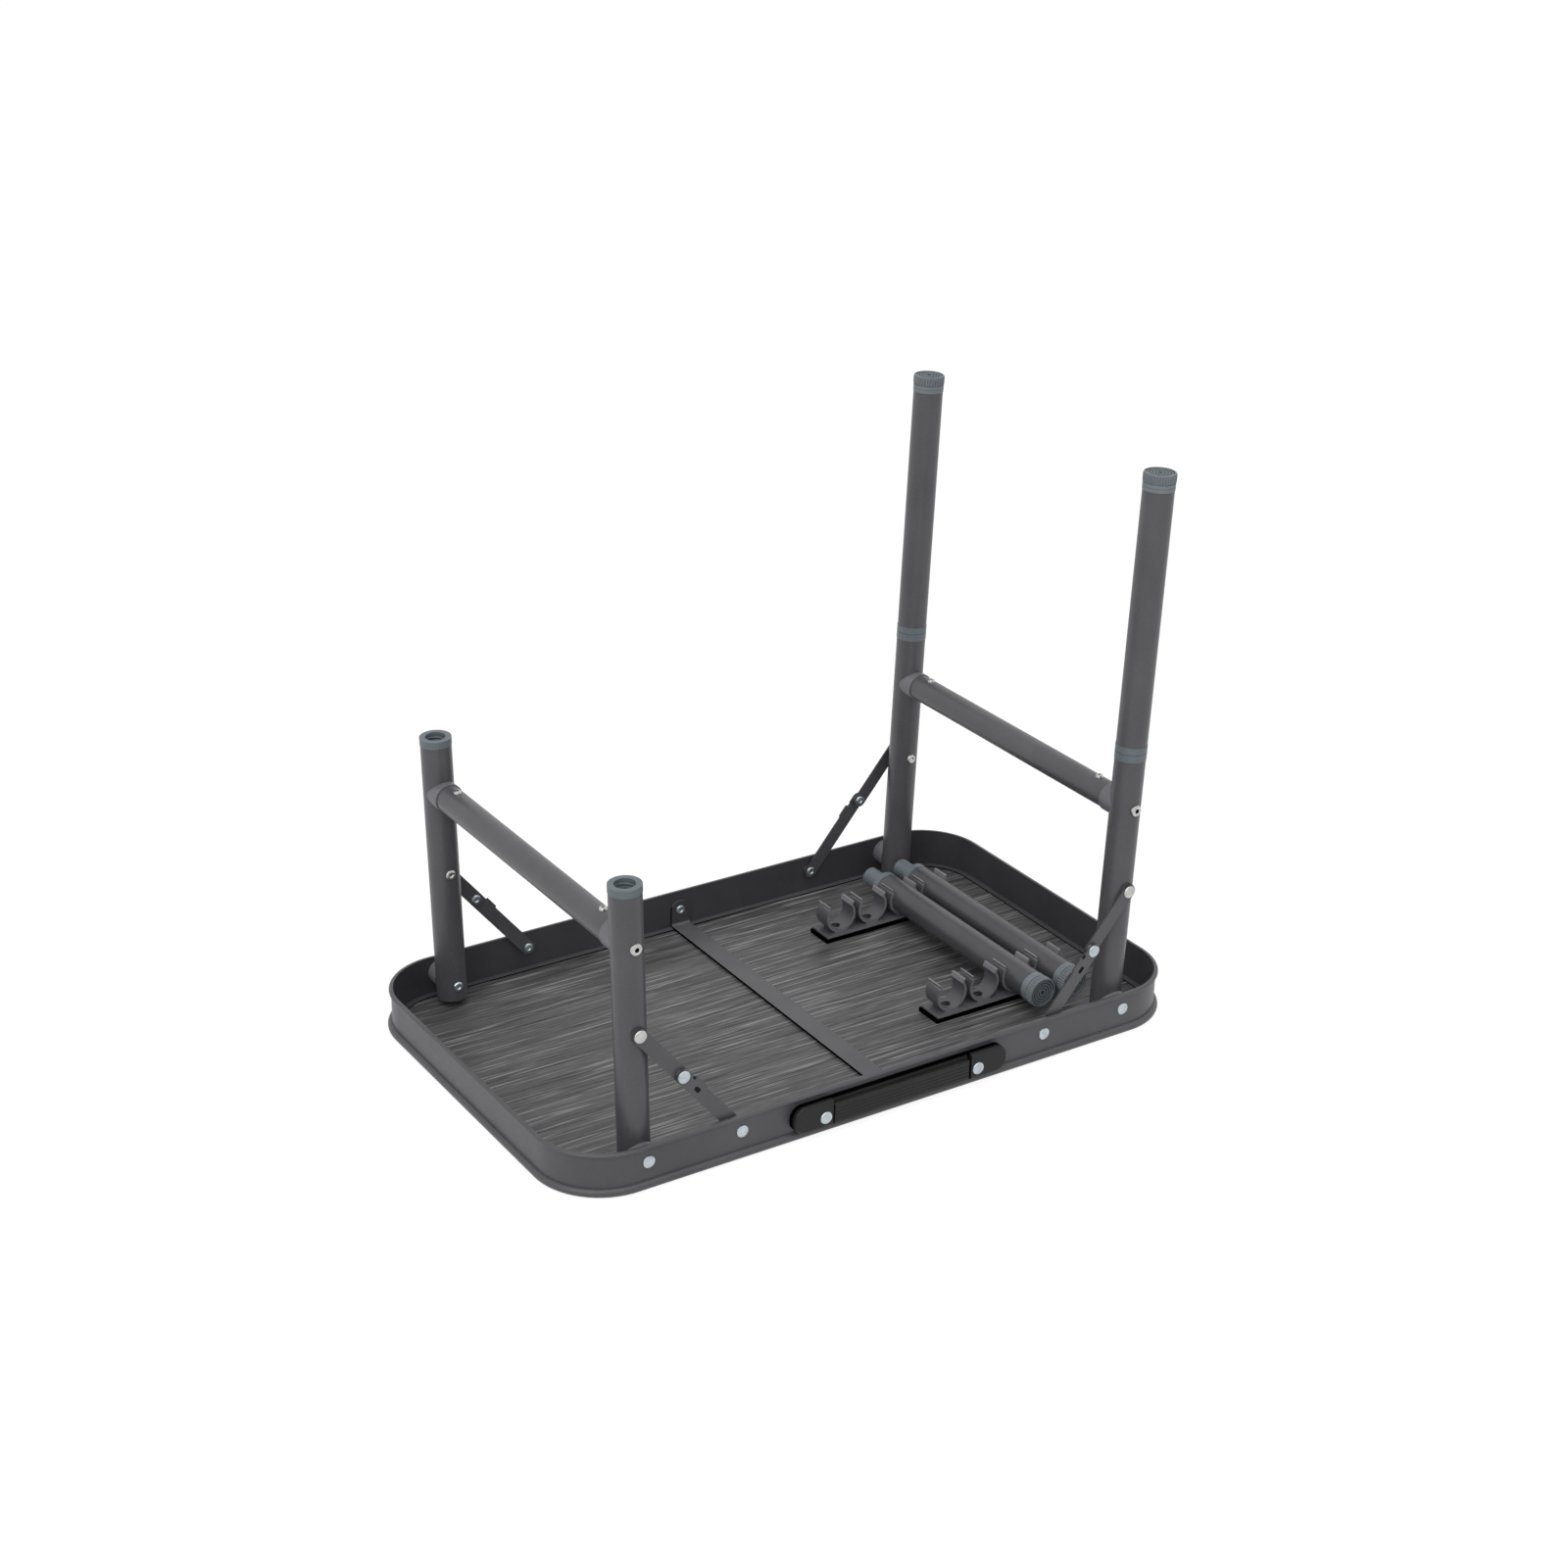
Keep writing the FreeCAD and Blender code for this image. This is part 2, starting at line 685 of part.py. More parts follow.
def clip_outline(x):
    """Section of one clip: a neck, two round arms and flared lips."""
    axis = CLIP_AXIS_Z
    lip_x = CLIP_OUTER_R * sine(S.clip_mouth_angle)
    lip_z = axis + CLIP_OUTER_R * cosine(S.clip_mouth_angle)
    inner_x = CLIP_R * sine(S.clip_mouth_angle)
    inner_z = axis + CLIP_R * cosine(S.clip_mouth_angle)
    tip_out = lip_x + S.clip_flare
    tip_in = tip_out - S.clip_wall * 0.7
    tip_z = lip_z + S.clip_rise
    half_neck = S.clip_neck / 2
    neck_z = axis - root(CLIP_OUTER_R * CLIP_OUTER_R - half_neck * half_neck)
    low = RAIL_TOP - S.rail_thickness / 2
    return [
        (x + half_neck, low),
        (x + half_neck, neck_z, x, axis, 1),
        (x + lip_x, lip_z),
        (x + tip_out, tip_z),
        (x + tip_in, tip_z),
        (x + inner_x, inner_z, x, axis, -1),
        (x - inner_x, inner_z),
        (x - tip_in, tip_z),
        (x - tip_out, tip_z),
        (x - lip_x, lip_z, x, axis, 1),
        (x - half_neck, neck_z),
        (x - half_neck, low),
    ]


def build_clips():
    """Two clip rails on pads, screwed to the board."""
    pads = []
    for side in SIDES:
        y = CLIP_FRONT_Y if side == "front" else CLIP_BACK_Y
        half = S.clip_width / 2
        pad = doc.addObject("Part::Box", f"{side}_pad_block")
        bind(pad, "Length", RAIL_END - RAIL_START + 2 * S.pad_margin)
        bind(pad, "Width", 2 * (half + S.rail_margin + S.pad_margin))
        bind(pad, "Height", S.pad_thickness)
        place(pad, (RAIL_START - S.pad_margin, y - half - S.rail_margin - S.pad_margin, S.panel_thickness))
        tools = clip_screw_tools(f"{side}_pad", S.panel_thickness, PAD_TOP, side)
        pads.append(cut(f"{side}_pad", pad, tools))

        body = new_body(f"{side}_rail")
        base = new_sketch(body, "XZ_Plane", -(y + half + S.rail_margin))
        draw(base, rounded_box(RAIL_START, RAIL_END, PAD_TOP, RAIL_TOP, S.rail_thickness / 4))
        extrude(body, base, 2 * (half + S.rail_margin))
        arms = new_sketch(body, "XZ_Plane", -(y + half))
        draw(arms, clip_outline(CLIP_FIRST_X))
        arm_pad = extrude(body, arms, S.clip_width)
        doc.recompute()
        pattern = body.newObject("PartDesign::LinearPattern", f"{side}_rail_row")
        pattern.Originals = [arm_pad]
        axis = [item for item in body.Origin.OriginFeatures if item.Role == "X_Axis"][0]
        pattern.Direction = (axis, [""])
        pattern.Occurrences = CLIP_COUNT
        bind(pattern, "Length", S.clip_pitch * (CLIP_COUNT - 1))
        body.Tip = pattern
        tools = clip_screw_tools(f"{side}_rail", PAD_TOP, CLIP_FLOOR, side)
        for name, place_y, x in clip_places():
            if name.startswith(side):
                sink = cylinder(f"{name}_sink", S.clip_screw_head, S.clip_screw_sink + S.clip_wall)
                tools.append(place(sink, (x, place_y, CLIP_FLOOR - S.clip_screw_sink)))
        keep(cut(f"{side}_rail_drilled", body, tools), f"clip_rail_{side}")
    group("clip_pads", pads)
    screws = []
    seat = CLIP_FLOOR - S.clip_screw_sink
    for name, y, x in clip_places():
        screw = turned(f"{name}_screw", [
            (ZERO, S.clip_screw_floor),
            (S.clip_screw_radius, S.clip_screw_floor),
            (S.clip_screw_radius, seat),
            (S.clip_screw_head, seat),
            (S.clip_screw_head, seat + S.clip_screw_sink / 3),
            (S.clip_screw_head / 2, seat + S.clip_screw_sink * 0.8),
            (ZERO, seat + S.clip_screw_sink * 0.8),
        ])
        screws.append(place(screw, (x, y, ZERO)))
    group("clip_screws", screws)


def build_handle():
    """Carrying handle on the front of the rim: backing, strap and two riveted end covers."""
    low = S.handle_bottom
    high = HANDLE_TOP
    reach = S.handle_half_length
    rivets = [(frame * S.handle_rivet_x, S.handle_rivet_z, S.rivet_radius) for frame in FRAMES.values()]
    backing = upright_plate("handle_plate", -1, WALL_OUTER, HANDLE_BACK,
                            [rounded_box(-reach, reach, low, high, S.cover_round)], rivets)
    pocket = drill("strip_head_room", S.head_radius + S.head_height / 2, WALL_OUTER - S.wall,
                   HANDLE_BACK + S.wall, -1, S.strip_x, S.strip_rivet_z)
    keep(cut("handle_back", backing, [pocket]), "handle_backing")

    edge = S.handle_edge
    tongue = upright_plate("strap_tongue", -1, HANDLE_BACK, TONGUE_FACE, [
        rounded_box(-reach + edge, reach - edge, low + edge, high - edge, S.cover_round - edge)], rivets)
    grip = new_body("strap_grip")
    sketch = new_sketch(grip, "YZ_Plane", -S.handle_split_x + S.handle_split_gap)
    groove = S.strap_groove
    strap_top = high - S.strap_drop
    middle = (low + strap_top) / 2
    lane = (strap_top - low - 2 * edge) / 3
    back = -TONGUE_FACE
    face = -HANDLE_FACE
    draw(sketch, [
        (back, low),
        (back, strap_top),
        (face + edge, strap_top, face + edge, strap_top - edge, 1),
        (face, strap_top - edge),
        (face, middle + lane / 2 + groove),
        (face + groove, middle + lane / 2),
        (face, middle + lane / 2 - groove),
        (face, middle - lane / 2 + groove),
        (face + groove, middle - lane / 2),
        (face, middle - lane / 2 - groove),
        (face, low + edge, face + edge, low + edge, 1),
        (face + edge, low),
    ])
    extrude(grip, sketch, 2 * (S.handle_split_x - S.handle_split_gap))
    strap = doc.addObject("Part::Fuse", "strap")
    strap.Base = tongue
    strap.Tool = grip
    keep(strap, "handle_strap")

    for frame_name, frame in FRAMES.items():
        inner = frame * S.handle_split_x
        outer = frame * reach
        round_x = frame * (reach - S.cover_round)
        corners = [
            (inner, low),
            (round_x, low, round_x, low + S.cover_round, frame),
            (outer, low + S.cover_round),
            (outer, high - S.cover_round, round_x, high - S.cover_round, frame),
            (round_x, high),
            (inner, high),
        ]
        cover = upright_plate(f"{frame_name}_cover_plate", -1, TONGUE_FACE, HANDLE_FACE, [corners],
                              [(frame * S.handle_rivet_x, S.handle_rivet_z, S.rivet_radius)])
        doc.recompute()
        pad = cover.Tip
        soften = cover.newObject("PartDesign::Fillet", f"{frame_name}_cover_edge")
        face_y = -HANDLE_FACE.value
        soften.Base = (pad, front_edges(pad.Shape, face_y, inner.value, S.rivet_radius.value))
        bind(soften, "Radius", S.handle_edge)
        keep(cover, f"handle_end_{frame_name}")


def front_edges(shape, face_y, seam_x, hole_radius):
    """Names of a cover's outer edges on its front face, without the seam and the rivet hole."""
    names = []
    for number, edge in enumerate(shape.Edges, start=1):
        box = edge.BoundBox
        on_face = abs(box.YMin - face_y) < 1e-6 and abs(box.YMax - face_y) < 1e-6
        on_seam = abs(box.XMin - seam_x) < 1e-6 and abs(box.XMax - seam_x) < 1e-6
        is_hole = len(edge.Vertexes) == 1
        if on_face and not on_seam and not is_hole:
            names.append(f"Edge{number}")
    return names


def tube_profile(low, high):
    """Section of a leg tube between two heights."""
    return [(TUBE_BORE_R, low), (TUBE_R, low), (TUBE_R, high), (TUBE_BORE_R, high)]


def build_frame(frame):
    """One folding leg frame with its cross tube, sockets and fasteners."""
    sign = FRAMES[frame]
    spacers = []
    plugs = []
    saddles = []
    fasteners = []
    stay_x = sign * STAY_LEG_X
    cross_x = sign * CROSS_X
    for side_name, side in SIDES.items():
        tag = f"{frame}_{side_name}"
        tube = along_leg(turned(tag + "_tube", tube_profile(-S.leg_tail, LEG_TUBE_END)), frame, side_name)
        past = TUBE_R + S.tube_wall
        holes = [
            drill(tag + "_pivot_hole", S.pivot_radius + S.running_clearance, LEG_Y - past, LEG_Y + past,
                  side, sign * PIVOT_X, S.pivot_z),
            drill(tag + "_stay_hole", S.rivet_radius, LEG_Y - past, LEG_Y + past,
                  side, stay_x, STAY_LEG_Z),
            drill(tag + "_cross_hole", S.rivet_radius, LEG_Y - past, LEG_Y + past,
                  side, cross_x, CROSS_Z),
        ]
        keep(cut(tag + "_leg", tube, holes), f"{frame}_leg_{side_name}")

        socket = turned(tag + "_socket", [
            (ZERO, JOINT_PLANE - S.socket_depth - S.socket_floor),
            (TUBE_BORE_R, JOINT_PLANE - S.socket_depth - S.socket_floor),
            (TUBE_BORE_R, LEG_TUBE_END),
            (COLLAR_R, LEG_TUBE_END),
            (COLLAR_R, JOINT_PLANE),
            (BORE_R, JOINT_PLANE),
            (BORE_R, JOINT_PLANE - S.socket_depth),
            (ZERO, JOINT_PLANE - S.socket_depth),
        ])
        keep(along_leg(socket, frame, side_name), f"{frame}_socket_{side_name}")

        plug_top = -S.pivot_radius - 2 * S.tube_wall
        plug = turned(tag + "_plug", [
            (ZERO, -S.leg_tail),
            (TUBE_BORE_R, -S.leg_tail),
            (TUBE_BORE_R, plug_top),
            (ZERO, plug_top),
        ])
        plugs.append(along_leg(plug, frame, side_name))

        spacer = across(turned(tag + "_spacer", [
            (S.pivot_radius + S.running_clearance, LEG_Y + S.spacer_seat),
            (S.spacer_radius, LEG_Y + S.spacer_seat),
            (S.spacer_radius, HALF_DEPTH - S.spacer_gap),
            (S.pivot_radius + S.running_clearance, HALF_DEPTH - S.spacer_gap),
        ]), side, sign * PIVOT_X, S.pivot_z)
        spacers.append(cut(tag + "_spacer_coped", spacer, [leg_cutter(tag + "_spacer_cope", frame, side_name)]))

        saddle = across(turned(tag + "_saddle", [
            (S.rivet_radius, CROSS_END - S.saddle_spigot),
            (CROSS_BORE_R, CROSS_END - S.saddle_spigot),
            (CROSS_BORE_R, CROSS_END),
            (CROSS_R + S.saddle_flange, CROSS_END),
            (CROSS_R + S.saddle_flange, LEG_Y),
            (S.rivet_radius, LEG_Y),
        ]), side, cross_x, CROSS_Z)
        small = drill(tag + "_small_hole", S.clip_screw_radius, ZERO, CROSS_R, side, ZERO, ZERO)
        small_y = side * (LEG_INNER - S.cross_screw_inset)
        place(small, (cross_x, small_y, CROSS_Z), (1, 0, 0), 0)
        saddles.append(cut(tag + "_saddle_coped", saddle,
                           [leg_cutter(tag + "_saddle_cope", frame, side_name), small]))

        fasteners += frame_fasteners(tag, side, stay_x, cross_x, small_y)
    tube = turned(f"{frame}_cross", [
        (CROSS_BORE_R, -CROSS_END), (CROSS_R, -CROSS_END), (CROSS_R, CROSS_END), (CROSS_BORE_R, CROSS_END),
    ])
    across(tube, 1, cross_x, CROSS_Z)
    tools = []
    for side_name, side in SIDES.items():
        tool = cylinder(f"{frame}_{side_name}_top_hole", S.clip_screw_radius, S.cross_diameter)
        tools.append(place(tool, (cross_x, side * (LEG_INNER - S.cross_screw_inset), CROSS_Z)))
    keep(cut(f"{frame}_cross_drilled", tube, tools), f"{frame}_cross_tube")
    group(f"{frame}_saddles", saddles)
    group(f"{frame}_leg_spacers", spacers)
    group(f"{frame}_leg_plugs", plugs)
    group(f"{frame}_frame_fasteners", fasteners)


def frame_fasteners(tag, side, stay_x, cross_x, small_y):
    """Rivet and washer of the stay, screw of the cross tube and its small top screw, on one leg."""
    stay = rivet(tag + "_leg_rivet", S.rivet_radius, LEG_INNER, S.inner_head_height,
                 UPPER_OUT, S.inner_head_height)
    across(stay, side, stay_x, STAY_LEG_Z)
    washer = turned(tag + "_leg_washer", [
        (S.rivet_radius, LEG_OUTER), (S.head_radius, LEG_OUTER),
        (S.head_radius, UPPER_IN), (S.rivet_radius, UPPER_IN),
    ])
    across(washer, side, stay_x, STAY_LEG_Z)
    end = CROSS_END - S.saddle_spigot / 3
    top = LEG_OUTER + S.screw_head_height
    recess = S.screw_head_radius / 2
    screw = turned(tag + "_cross_screw", [
        (ZERO, end), (S.rivet_radius, end), (S.rivet_radius, LEG_OUTER),
        (S.screw_head_radius, LEG_OUTER), (S.screw_head_radius, top - S.screw_head_height / 4),
        (S.screw_head_radius * 0.85, top), (recess, top),
        (recess, LEG_OUTER + S.screw_head_height / 4), (ZERO, LEG_OUTER + S.screw_head_height / 4),
    ])
    across(screw, side, cross_x, CROSS_Z)
    low = CROSS_R / 2
    small = turned(tag + "_top_screw", [
        (ZERO, low), (S.clip_screw_radius, low), (S.clip_screw_radius, CROSS_R),
        (S.small_head_radius, CROSS_R), (S.small_head_radius * 0.75, CROSS_R + S.screw_head_height * 0.6),
        (ZERO, CROSS_R + S.screw_head_height * 0.6),
    ])
    place(small, (cross_x, small_y, CROSS_Z))
    return [stay, washer, screw, small]


def extension_pieces(tag, base):
    """Stub insert, tube and foot of one leg extension, up its own Z from its seat."""
    tube_low = base + S.collar_height
    top = base + EXTENSION_LENGTH
    tube_high = top - S.foot_collar - S.foot_pad
    tip = S.stub_clearance * 20
    stub = turned(tag + "_stub", [
        (ZERO, base - S.stub_length),
        (STUB_R - tip, base - S.stub_length),
        (STUB_R, base - S.stub_length + tip),
        (STUB_R, base),
        (COLLAR_R, base),
        (COLLAR_R, tube_low),
        (TUBE_BORE_R, tube_low),
        (TUBE_BORE_R, tube_low + S.plug_depth),
        (ZERO, tube_low + S.plug_depth),
    ])
    tube = turned(tag + "_tube", tube_profile(tube_low, tube_high))
    foot_r = TUBE_R + S.foot_proud
    collar_top = tube_high + S.foot_collar
    ring_r = TUBE_R / 2
    band = TUBE_R / 6
    foot = turned(tag + "_foot", [
        (ZERO, tube_high - S.plug_depth),
        (TUBE_BORE_R, tube_high - S.plug_depth),
        (TUBE_BORE_R, tube_high),
        (COLLAR_R, tube_high),
        (COLLAR_R, collar_top),
        (foot_r, collar_top),
        (foot_r, top - S.foot_ring_depth),
        (foot_r - S.foot_ring_depth, top),
        (ring_r + band, top),
        (ring_r + band, top - S.foot_ring_depth),
        (ring_r, top - S.foot_ring_depth),
        (ring_r, top),
        (ring_r - band, top),
        (ring_r - band, top - S.foot_ring_depth),
        (ZERO, top - S.foot_ring_depth),
    ])
    return {"stub": stub, "tube": tube, "foot": foot}


def build_extensions():
    """Two extensions screwed into the right-hand legs and two stored in the clips."""
    for side in SIDES:
        pieces = extension_pieces(f"fitted_{side}", JOINT_PLANE + S.joint_gap)
        for kind, piece in pieces.items():
            keep(along_leg(piece, "right", side), f"extension_{side}_{kind}")
    for name, number in STORED_CLIPS.items():
        x = CLIP_FIRST_X + S.clip_pitch * number
        for kind, piece in extension_pieces(f"stored_{name}", ZERO + 0).items():
            place(piece, (x, STORED_FOOT_Y + EXTENSION_LENGTH, CLIP_AXIS_Z), (1, 0, 0), 90)
            keep(piece, f"stored_{name}_{kind}")


def build_stay(frame, side_name):
    """One folding stay: two flat links, each with its half of the rivet between them."""
    sign = FRAMES[frame]
    side = SIDES[side_name]
    tag = f"{frame}_{side_name}"
    lean = direction(STAY_RISE, sign * STAY_RUN)
    half = S.link_width / 2
    hole = S.rivet_radius + S.running_clearance
    lug_start = LOWER_LENGTH - S.lug_reach
    notch_far = LOWER_LENGTH - S.notch_reach + S.notch_width / 2
    notch_near = LOWER_LENGTH - S.notch_reach - S.notch_width / 2
    notch_slope = S.notch_depth / 3
    inside = sign * half
    lug = sign * (half + S.lug_height)
    notch_floor = sign * (half - S.notch_depth)
    outline = [
        (ZERO, -inside),
        (LOWER_LENGTH, -inside, LOWER_LENGTH, ZERO, sign),
        (LOWER_LENGTH, inside),
        (notch_far, inside),
        (notch_far - notch_slope, notch_floor),
        (notch_near + notch_slope, notch_floor),
        (notch_near, lug),
        (lug_start, lug),
        (lug_start - S.lug_height, inside),
        (ZERO, inside, ZERO, ZERO, sign),
    ]
    slot_middle = LOWER_LENGTH - S.slot_reach
    slot = stadium(slot_middle - S.slot_length / 2, slot_middle + S.slot_length / 2, S.slot_radius)
    lower = upright_plate(tag + "_lower", side, LOWER_IN + S.link_play, LOWER_OUT - S.link_play,
                          [outline, slot], [(ZERO, ZERO, hole), (LOWER_LENGTH, ZERO, S.rivet_radius)])
    place(lower, (sign * STAY_X, ZERO, S.stay_z), (0, -1, 0), lean)
    keep(lower, f"{frame}_stay_lower_{side_name}")
    upper = upright_plate(tag + "_upper", side, UPPER_IN + S.link_play, UPPER_OUT - S.link_play,
                          [stadium(ZERO, UPPER_LENGTH, half)],
                          [(ZERO, ZERO, S.rivet_radius), (UPPER_LENGTH, ZERO, hole)])
    place(upper, (sign * MID_X, ZERO, MID_Z), (0, -1, 0), lean)
    keep(upper, f"{frame}_stay_upper_{side_name}")

    radius = S.head_radius
    outer_seat = LOWER_OUT - S.link_play
    outer = turned(tag + "_mid_outer", [
        (ZERO, MID_PLANE + MID_HALF_GAP),
        (radius, MID_PLANE + MID_HALF_GAP),
        (radius, LOWER_IN + S.link_play),
        (S.rivet_radius, LOWER_IN + S.link_play),
        (S.rivet_radius, outer_seat),
    ] + head(radius, outer_seat, outer_seat + S.mid_head_height) + [(ZERO, outer_seat + S.mid_head_height)])
    keep(across(outer, side, sign * MID_X, MID_Z), f"{frame}_mid_rivet_outer_{side_name}")
    inner_seat = UPPER_IN + S.link_play
    inner = turned(tag + "_mid_inner", [
        (ZERO, inner_seat - S.inner_head_height),
        (radius - S.inner_head_height, inner_seat - S.inner_head_height),
        (radius, inner_seat - S.inner_head_height / 2),
        (radius, inner_seat),
        (S.rivet_radius, inner_seat),
        (S.rivet_radius, UPPER_OUT - S.link_play),
        (radius, UPPER_OUT - S.link_play),
        (radius, MID_PLANE - MID_HALF_GAP),
        (ZERO, MID_PLANE - MID_HALF_GAP),
    ])
    keep(across(inner, side, sign * MID_X, MID_Z), f"{frame}_mid_rivet_inner_{side_name}")


def check_and_write():
    """Stops on any failed feature or bad solid, then writes one file per sub-part."""
    doc.recompute()
    for thing in doc.Objects:
        if "Invalid" in thing.State or "Error" in thing.State:
            raise RuntimeError(f"{thing.Label} did not rebuild: {thing.State}")
    for thing in sub_parts:
        if thing.Shape.isNull() or not thing.Shape.isValid() or not thing.Shape.Solids:
            raise RuntimeError(f"{thing.Label} is not a sound solid")
    os.makedirs("parts", exist_ok=True)
    for thing in sub_parts:
        thing.Shape.exportStep(f"parts/{thing.Label}.step")
    print(f"{len(sub_parts)} sub-parts written")


build_table_top()
build_clips()
build_handle()
build_rim_rivets()
for frame_name in FRAMES:
    build_frame(frame_name)
    for stay_side in SIDES:
        build_stay(frame_name, stay_side)
build_extensions()
check_and_write()
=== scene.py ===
"""Looks of a folding camping table that lies on its top with its legs up.

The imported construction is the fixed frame: its pieces keep their places and get finishes here. Feet,
rivets, screws and the handle's strap are built finer in place of the plain ones, and threads, washers and
gaskets are added. Metres, with +Z from the table-top face to the feet; a size in millimetres says so.
"""

import logging
import math
from collections.abc import Callable
from dataclasses import dataclass, field
from enum import Enum

import bpy
from mathutils import Matrix, Vector


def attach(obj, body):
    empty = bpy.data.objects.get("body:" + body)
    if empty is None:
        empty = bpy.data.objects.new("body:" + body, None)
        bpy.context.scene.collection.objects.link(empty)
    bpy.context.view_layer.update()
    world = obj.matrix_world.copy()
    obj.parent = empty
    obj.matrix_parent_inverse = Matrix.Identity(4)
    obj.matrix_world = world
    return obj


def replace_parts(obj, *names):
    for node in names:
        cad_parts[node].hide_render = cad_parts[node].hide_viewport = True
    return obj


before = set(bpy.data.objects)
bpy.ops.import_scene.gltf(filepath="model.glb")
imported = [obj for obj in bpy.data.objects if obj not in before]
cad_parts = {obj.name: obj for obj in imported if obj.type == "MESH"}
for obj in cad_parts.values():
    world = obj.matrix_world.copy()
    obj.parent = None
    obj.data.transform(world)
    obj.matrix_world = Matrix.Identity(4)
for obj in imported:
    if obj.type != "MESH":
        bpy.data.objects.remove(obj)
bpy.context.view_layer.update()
LOG = logging.getLogger("camping_table")
MM = 0.001

# Places in the construction, in millimetres. Those along Y are distances from the table's middle plane, and
# both reaches and the fitted base are measured up the leg from its pivot.
PIVOT_X = 250.0
PIVOT_Z = 25.4
LEG_ROW = 167.5
LEG_INNER = 153.5
LEG_OUTER = 181.5
LEG_LEAN = math.radians(1.75)
STAY_REACH = 115.0
CROSS_REACH = 194.0
CROSS_RADIUS = 12.4
TOP_SCREW_ROW = 129.5
RIM_INNER = 190.2
RIM_OUTER = 192.0
RIM_HEAD = 193.9
FITTED_BASE = 246.9
STORED_X = {"inner": 205.0, "outer": 242.0}
STORED_Y = 123.2
CLIP_AXIS = 26.05

# A face looks along an axis where its normal has more than FACING of it, and across it below ACROSS.
FACING = 0.9
ACROSS = 0.5
ROUND_STEPS = 40
WHITE = (1.0, 1.0, 1.0, 1.0)
# Numbers of a mix node's two colour inputs and of its colour output.
MIX_LOW = 6
MIX_HIGH = 7
MIX_COLOUR = 2

Pair = tuple[float, float]
Point = tuple[float, float, float]
Section = tuple[Pair, ...]
Profile = list[Pair]
RingShape = Callable[[float], float]
Faces = list[tuple[int, ...]]
Surface = tuple[list[Vector], Faces]
MeshFace = bpy.types.MeshPolygon
Socket = bpy.types.NodeSocket
Tree = bpy.types.NodeTree


class Row(Enum):
    """The two long sides of the table, as the sign of Y."""

    FRONT = -1
    BACK = 1


class End(Enum):
    """The two short ends of the table, as the sign of X."""

    LEFT = -1
    RIGHT = 1


class Thread(Enum):
    """Which way a screw thread stands out from its cylinder."""

    MALE = 1
    FEMALE = -1


def linear(hex_colour: str) -> tuple[float, float, float, float]:
    """Turns an sRGB hex colour into linear RGBA.

    Args:
        hex_colour: six hex digits, with or without a leading hash.

    Returns:
        Linear red, green and blue, and an alpha of 1.
    """
    digits = hex_colour.lstrip("#")
    channels = [int(digits[i:i + 2], 16) / 255 for i in (0, 2, 4)]
    red, green, blue = [c / 12.92 if c <= 0.04045 else ((c + 0.055) / 1.055) ** 2.4 for c in channels]
    return red, green, blue, 1.0


def add_node(tree: Tree, kind: str, inputs: dict | None = None, **settings) -> bpy.types.Node:
    """Adds one node with its settings and inputs.

    Args:
        tree: the node tree that it goes into.
        kind: Blender's name of the node type.
        inputs: value or source socket for each input, by name or number.
        **settings: properties of the node itself.

    Returns:
        The new node.
    """
    node = tree.nodes.new(kind)
    for key, value in settings.items():
        setattr(node, key, value)
    for key, value in (inputs or {}).items():
        if isinstance(value, Socket):
            tree.links.new(value, node.inputs[key])
        else:
            node.inputs[key].default_value = value
    return node


@dataclass(frozen=True)
class Finish:
    """A surface finish: two near tones, a gloss and a fine relief, each with its own real size."""

    name: str
    dark: str
    light: str
    roughness: float
    metallic: float = 0.0
    specular: float = 0.5
    relief_size: float = 2.5
    relief_height: float = 0.03
    cloud_size: float = 45.0
    roughness_spread: float = 0.06

    def tones(self, tree: Tree, place: Socket, relief: Socket) -> Socket:
        """Colour of the finish: slow clouding with a little of the relief in it.

        Args:
            tree: the material's nodes.
            place: position on the piece, in metres.
            relief: the relief pattern, 0 to 1.

        Returns:
            The socket that carries the colour.
        """
        cloud = add_node(tree, "ShaderNodeTexNoise", {
            "Vector": place, "Scale": 1 / (self.cloud_size * MM), "Detail": 3.0, "Roughness": 0.55})
        share = add_node(tree, "ShaderNodeMath", {0: relief, 1: 0.45, 2: 0.0}, operation="MULTIPLY_ADD")
        tree.links.new(cloud.outputs["Fac"], share.inputs[2])
        fit = add_node(tree, "ShaderNodeMapRange", {
            "Value": share.outputs[0], "From Min": 0.5, "From Max": 0.95})
        mix = add_node(tree, "ShaderNodeMix", {
            0: fit.outputs[0], MIX_LOW: linear(self.dark), MIX_HIGH: linear(self.light)}, data_type="RGBA")
        return mix.outputs[MIX_COLOUR]

    def material(self) -> bpy.types.Material:
        """Builds the material, or hands back the one built before.

        Returns:
            The Blender material of this finish.
        """
        made = bpy.data.materials.get(self.name)
        if made is not None:
            return made
        made = bpy.data.materials.new(self.name)
        made.use_nodes = True
        tree = made.node_tree
        tree.nodes.clear()
        place = add_node(tree, "ShaderNodeTexCoord").outputs["Object"]
        relief = add_node(tree, "ShaderNodeTexNoise", {
            "Vector": place, "Scale": 1 / (self.relief_size * MM), "Detail": 2.0}).outputs["Fac"]
        gloss = add_node(tree, "ShaderNodeMapRange", {
            "Value": relief, "From Min": 0.3, "From Max": 0.7,
            "To Min": self.roughness - self.roughness_spread,
            "To Max": self.roughness + self.roughness_spread})
        bump = add_node(tree, "ShaderNodeBump", {
            "Height": relief, "Strength": 0.6, "Distance": self.relief_height * MM})
        skin = add_node(tree, "ShaderNodeBsdfPrincipled", {
            "Base Color": self.tones(tree, place, relief), "Roughness": gloss.outputs[0],
            "Normal": bump.outputs[0], "Metallic": self.metallic, "Specular IOR Level": self.specular})
        add_node(tree, "ShaderNodeOutputMaterial", {"Surface": skin.outputs[0]})
        return made


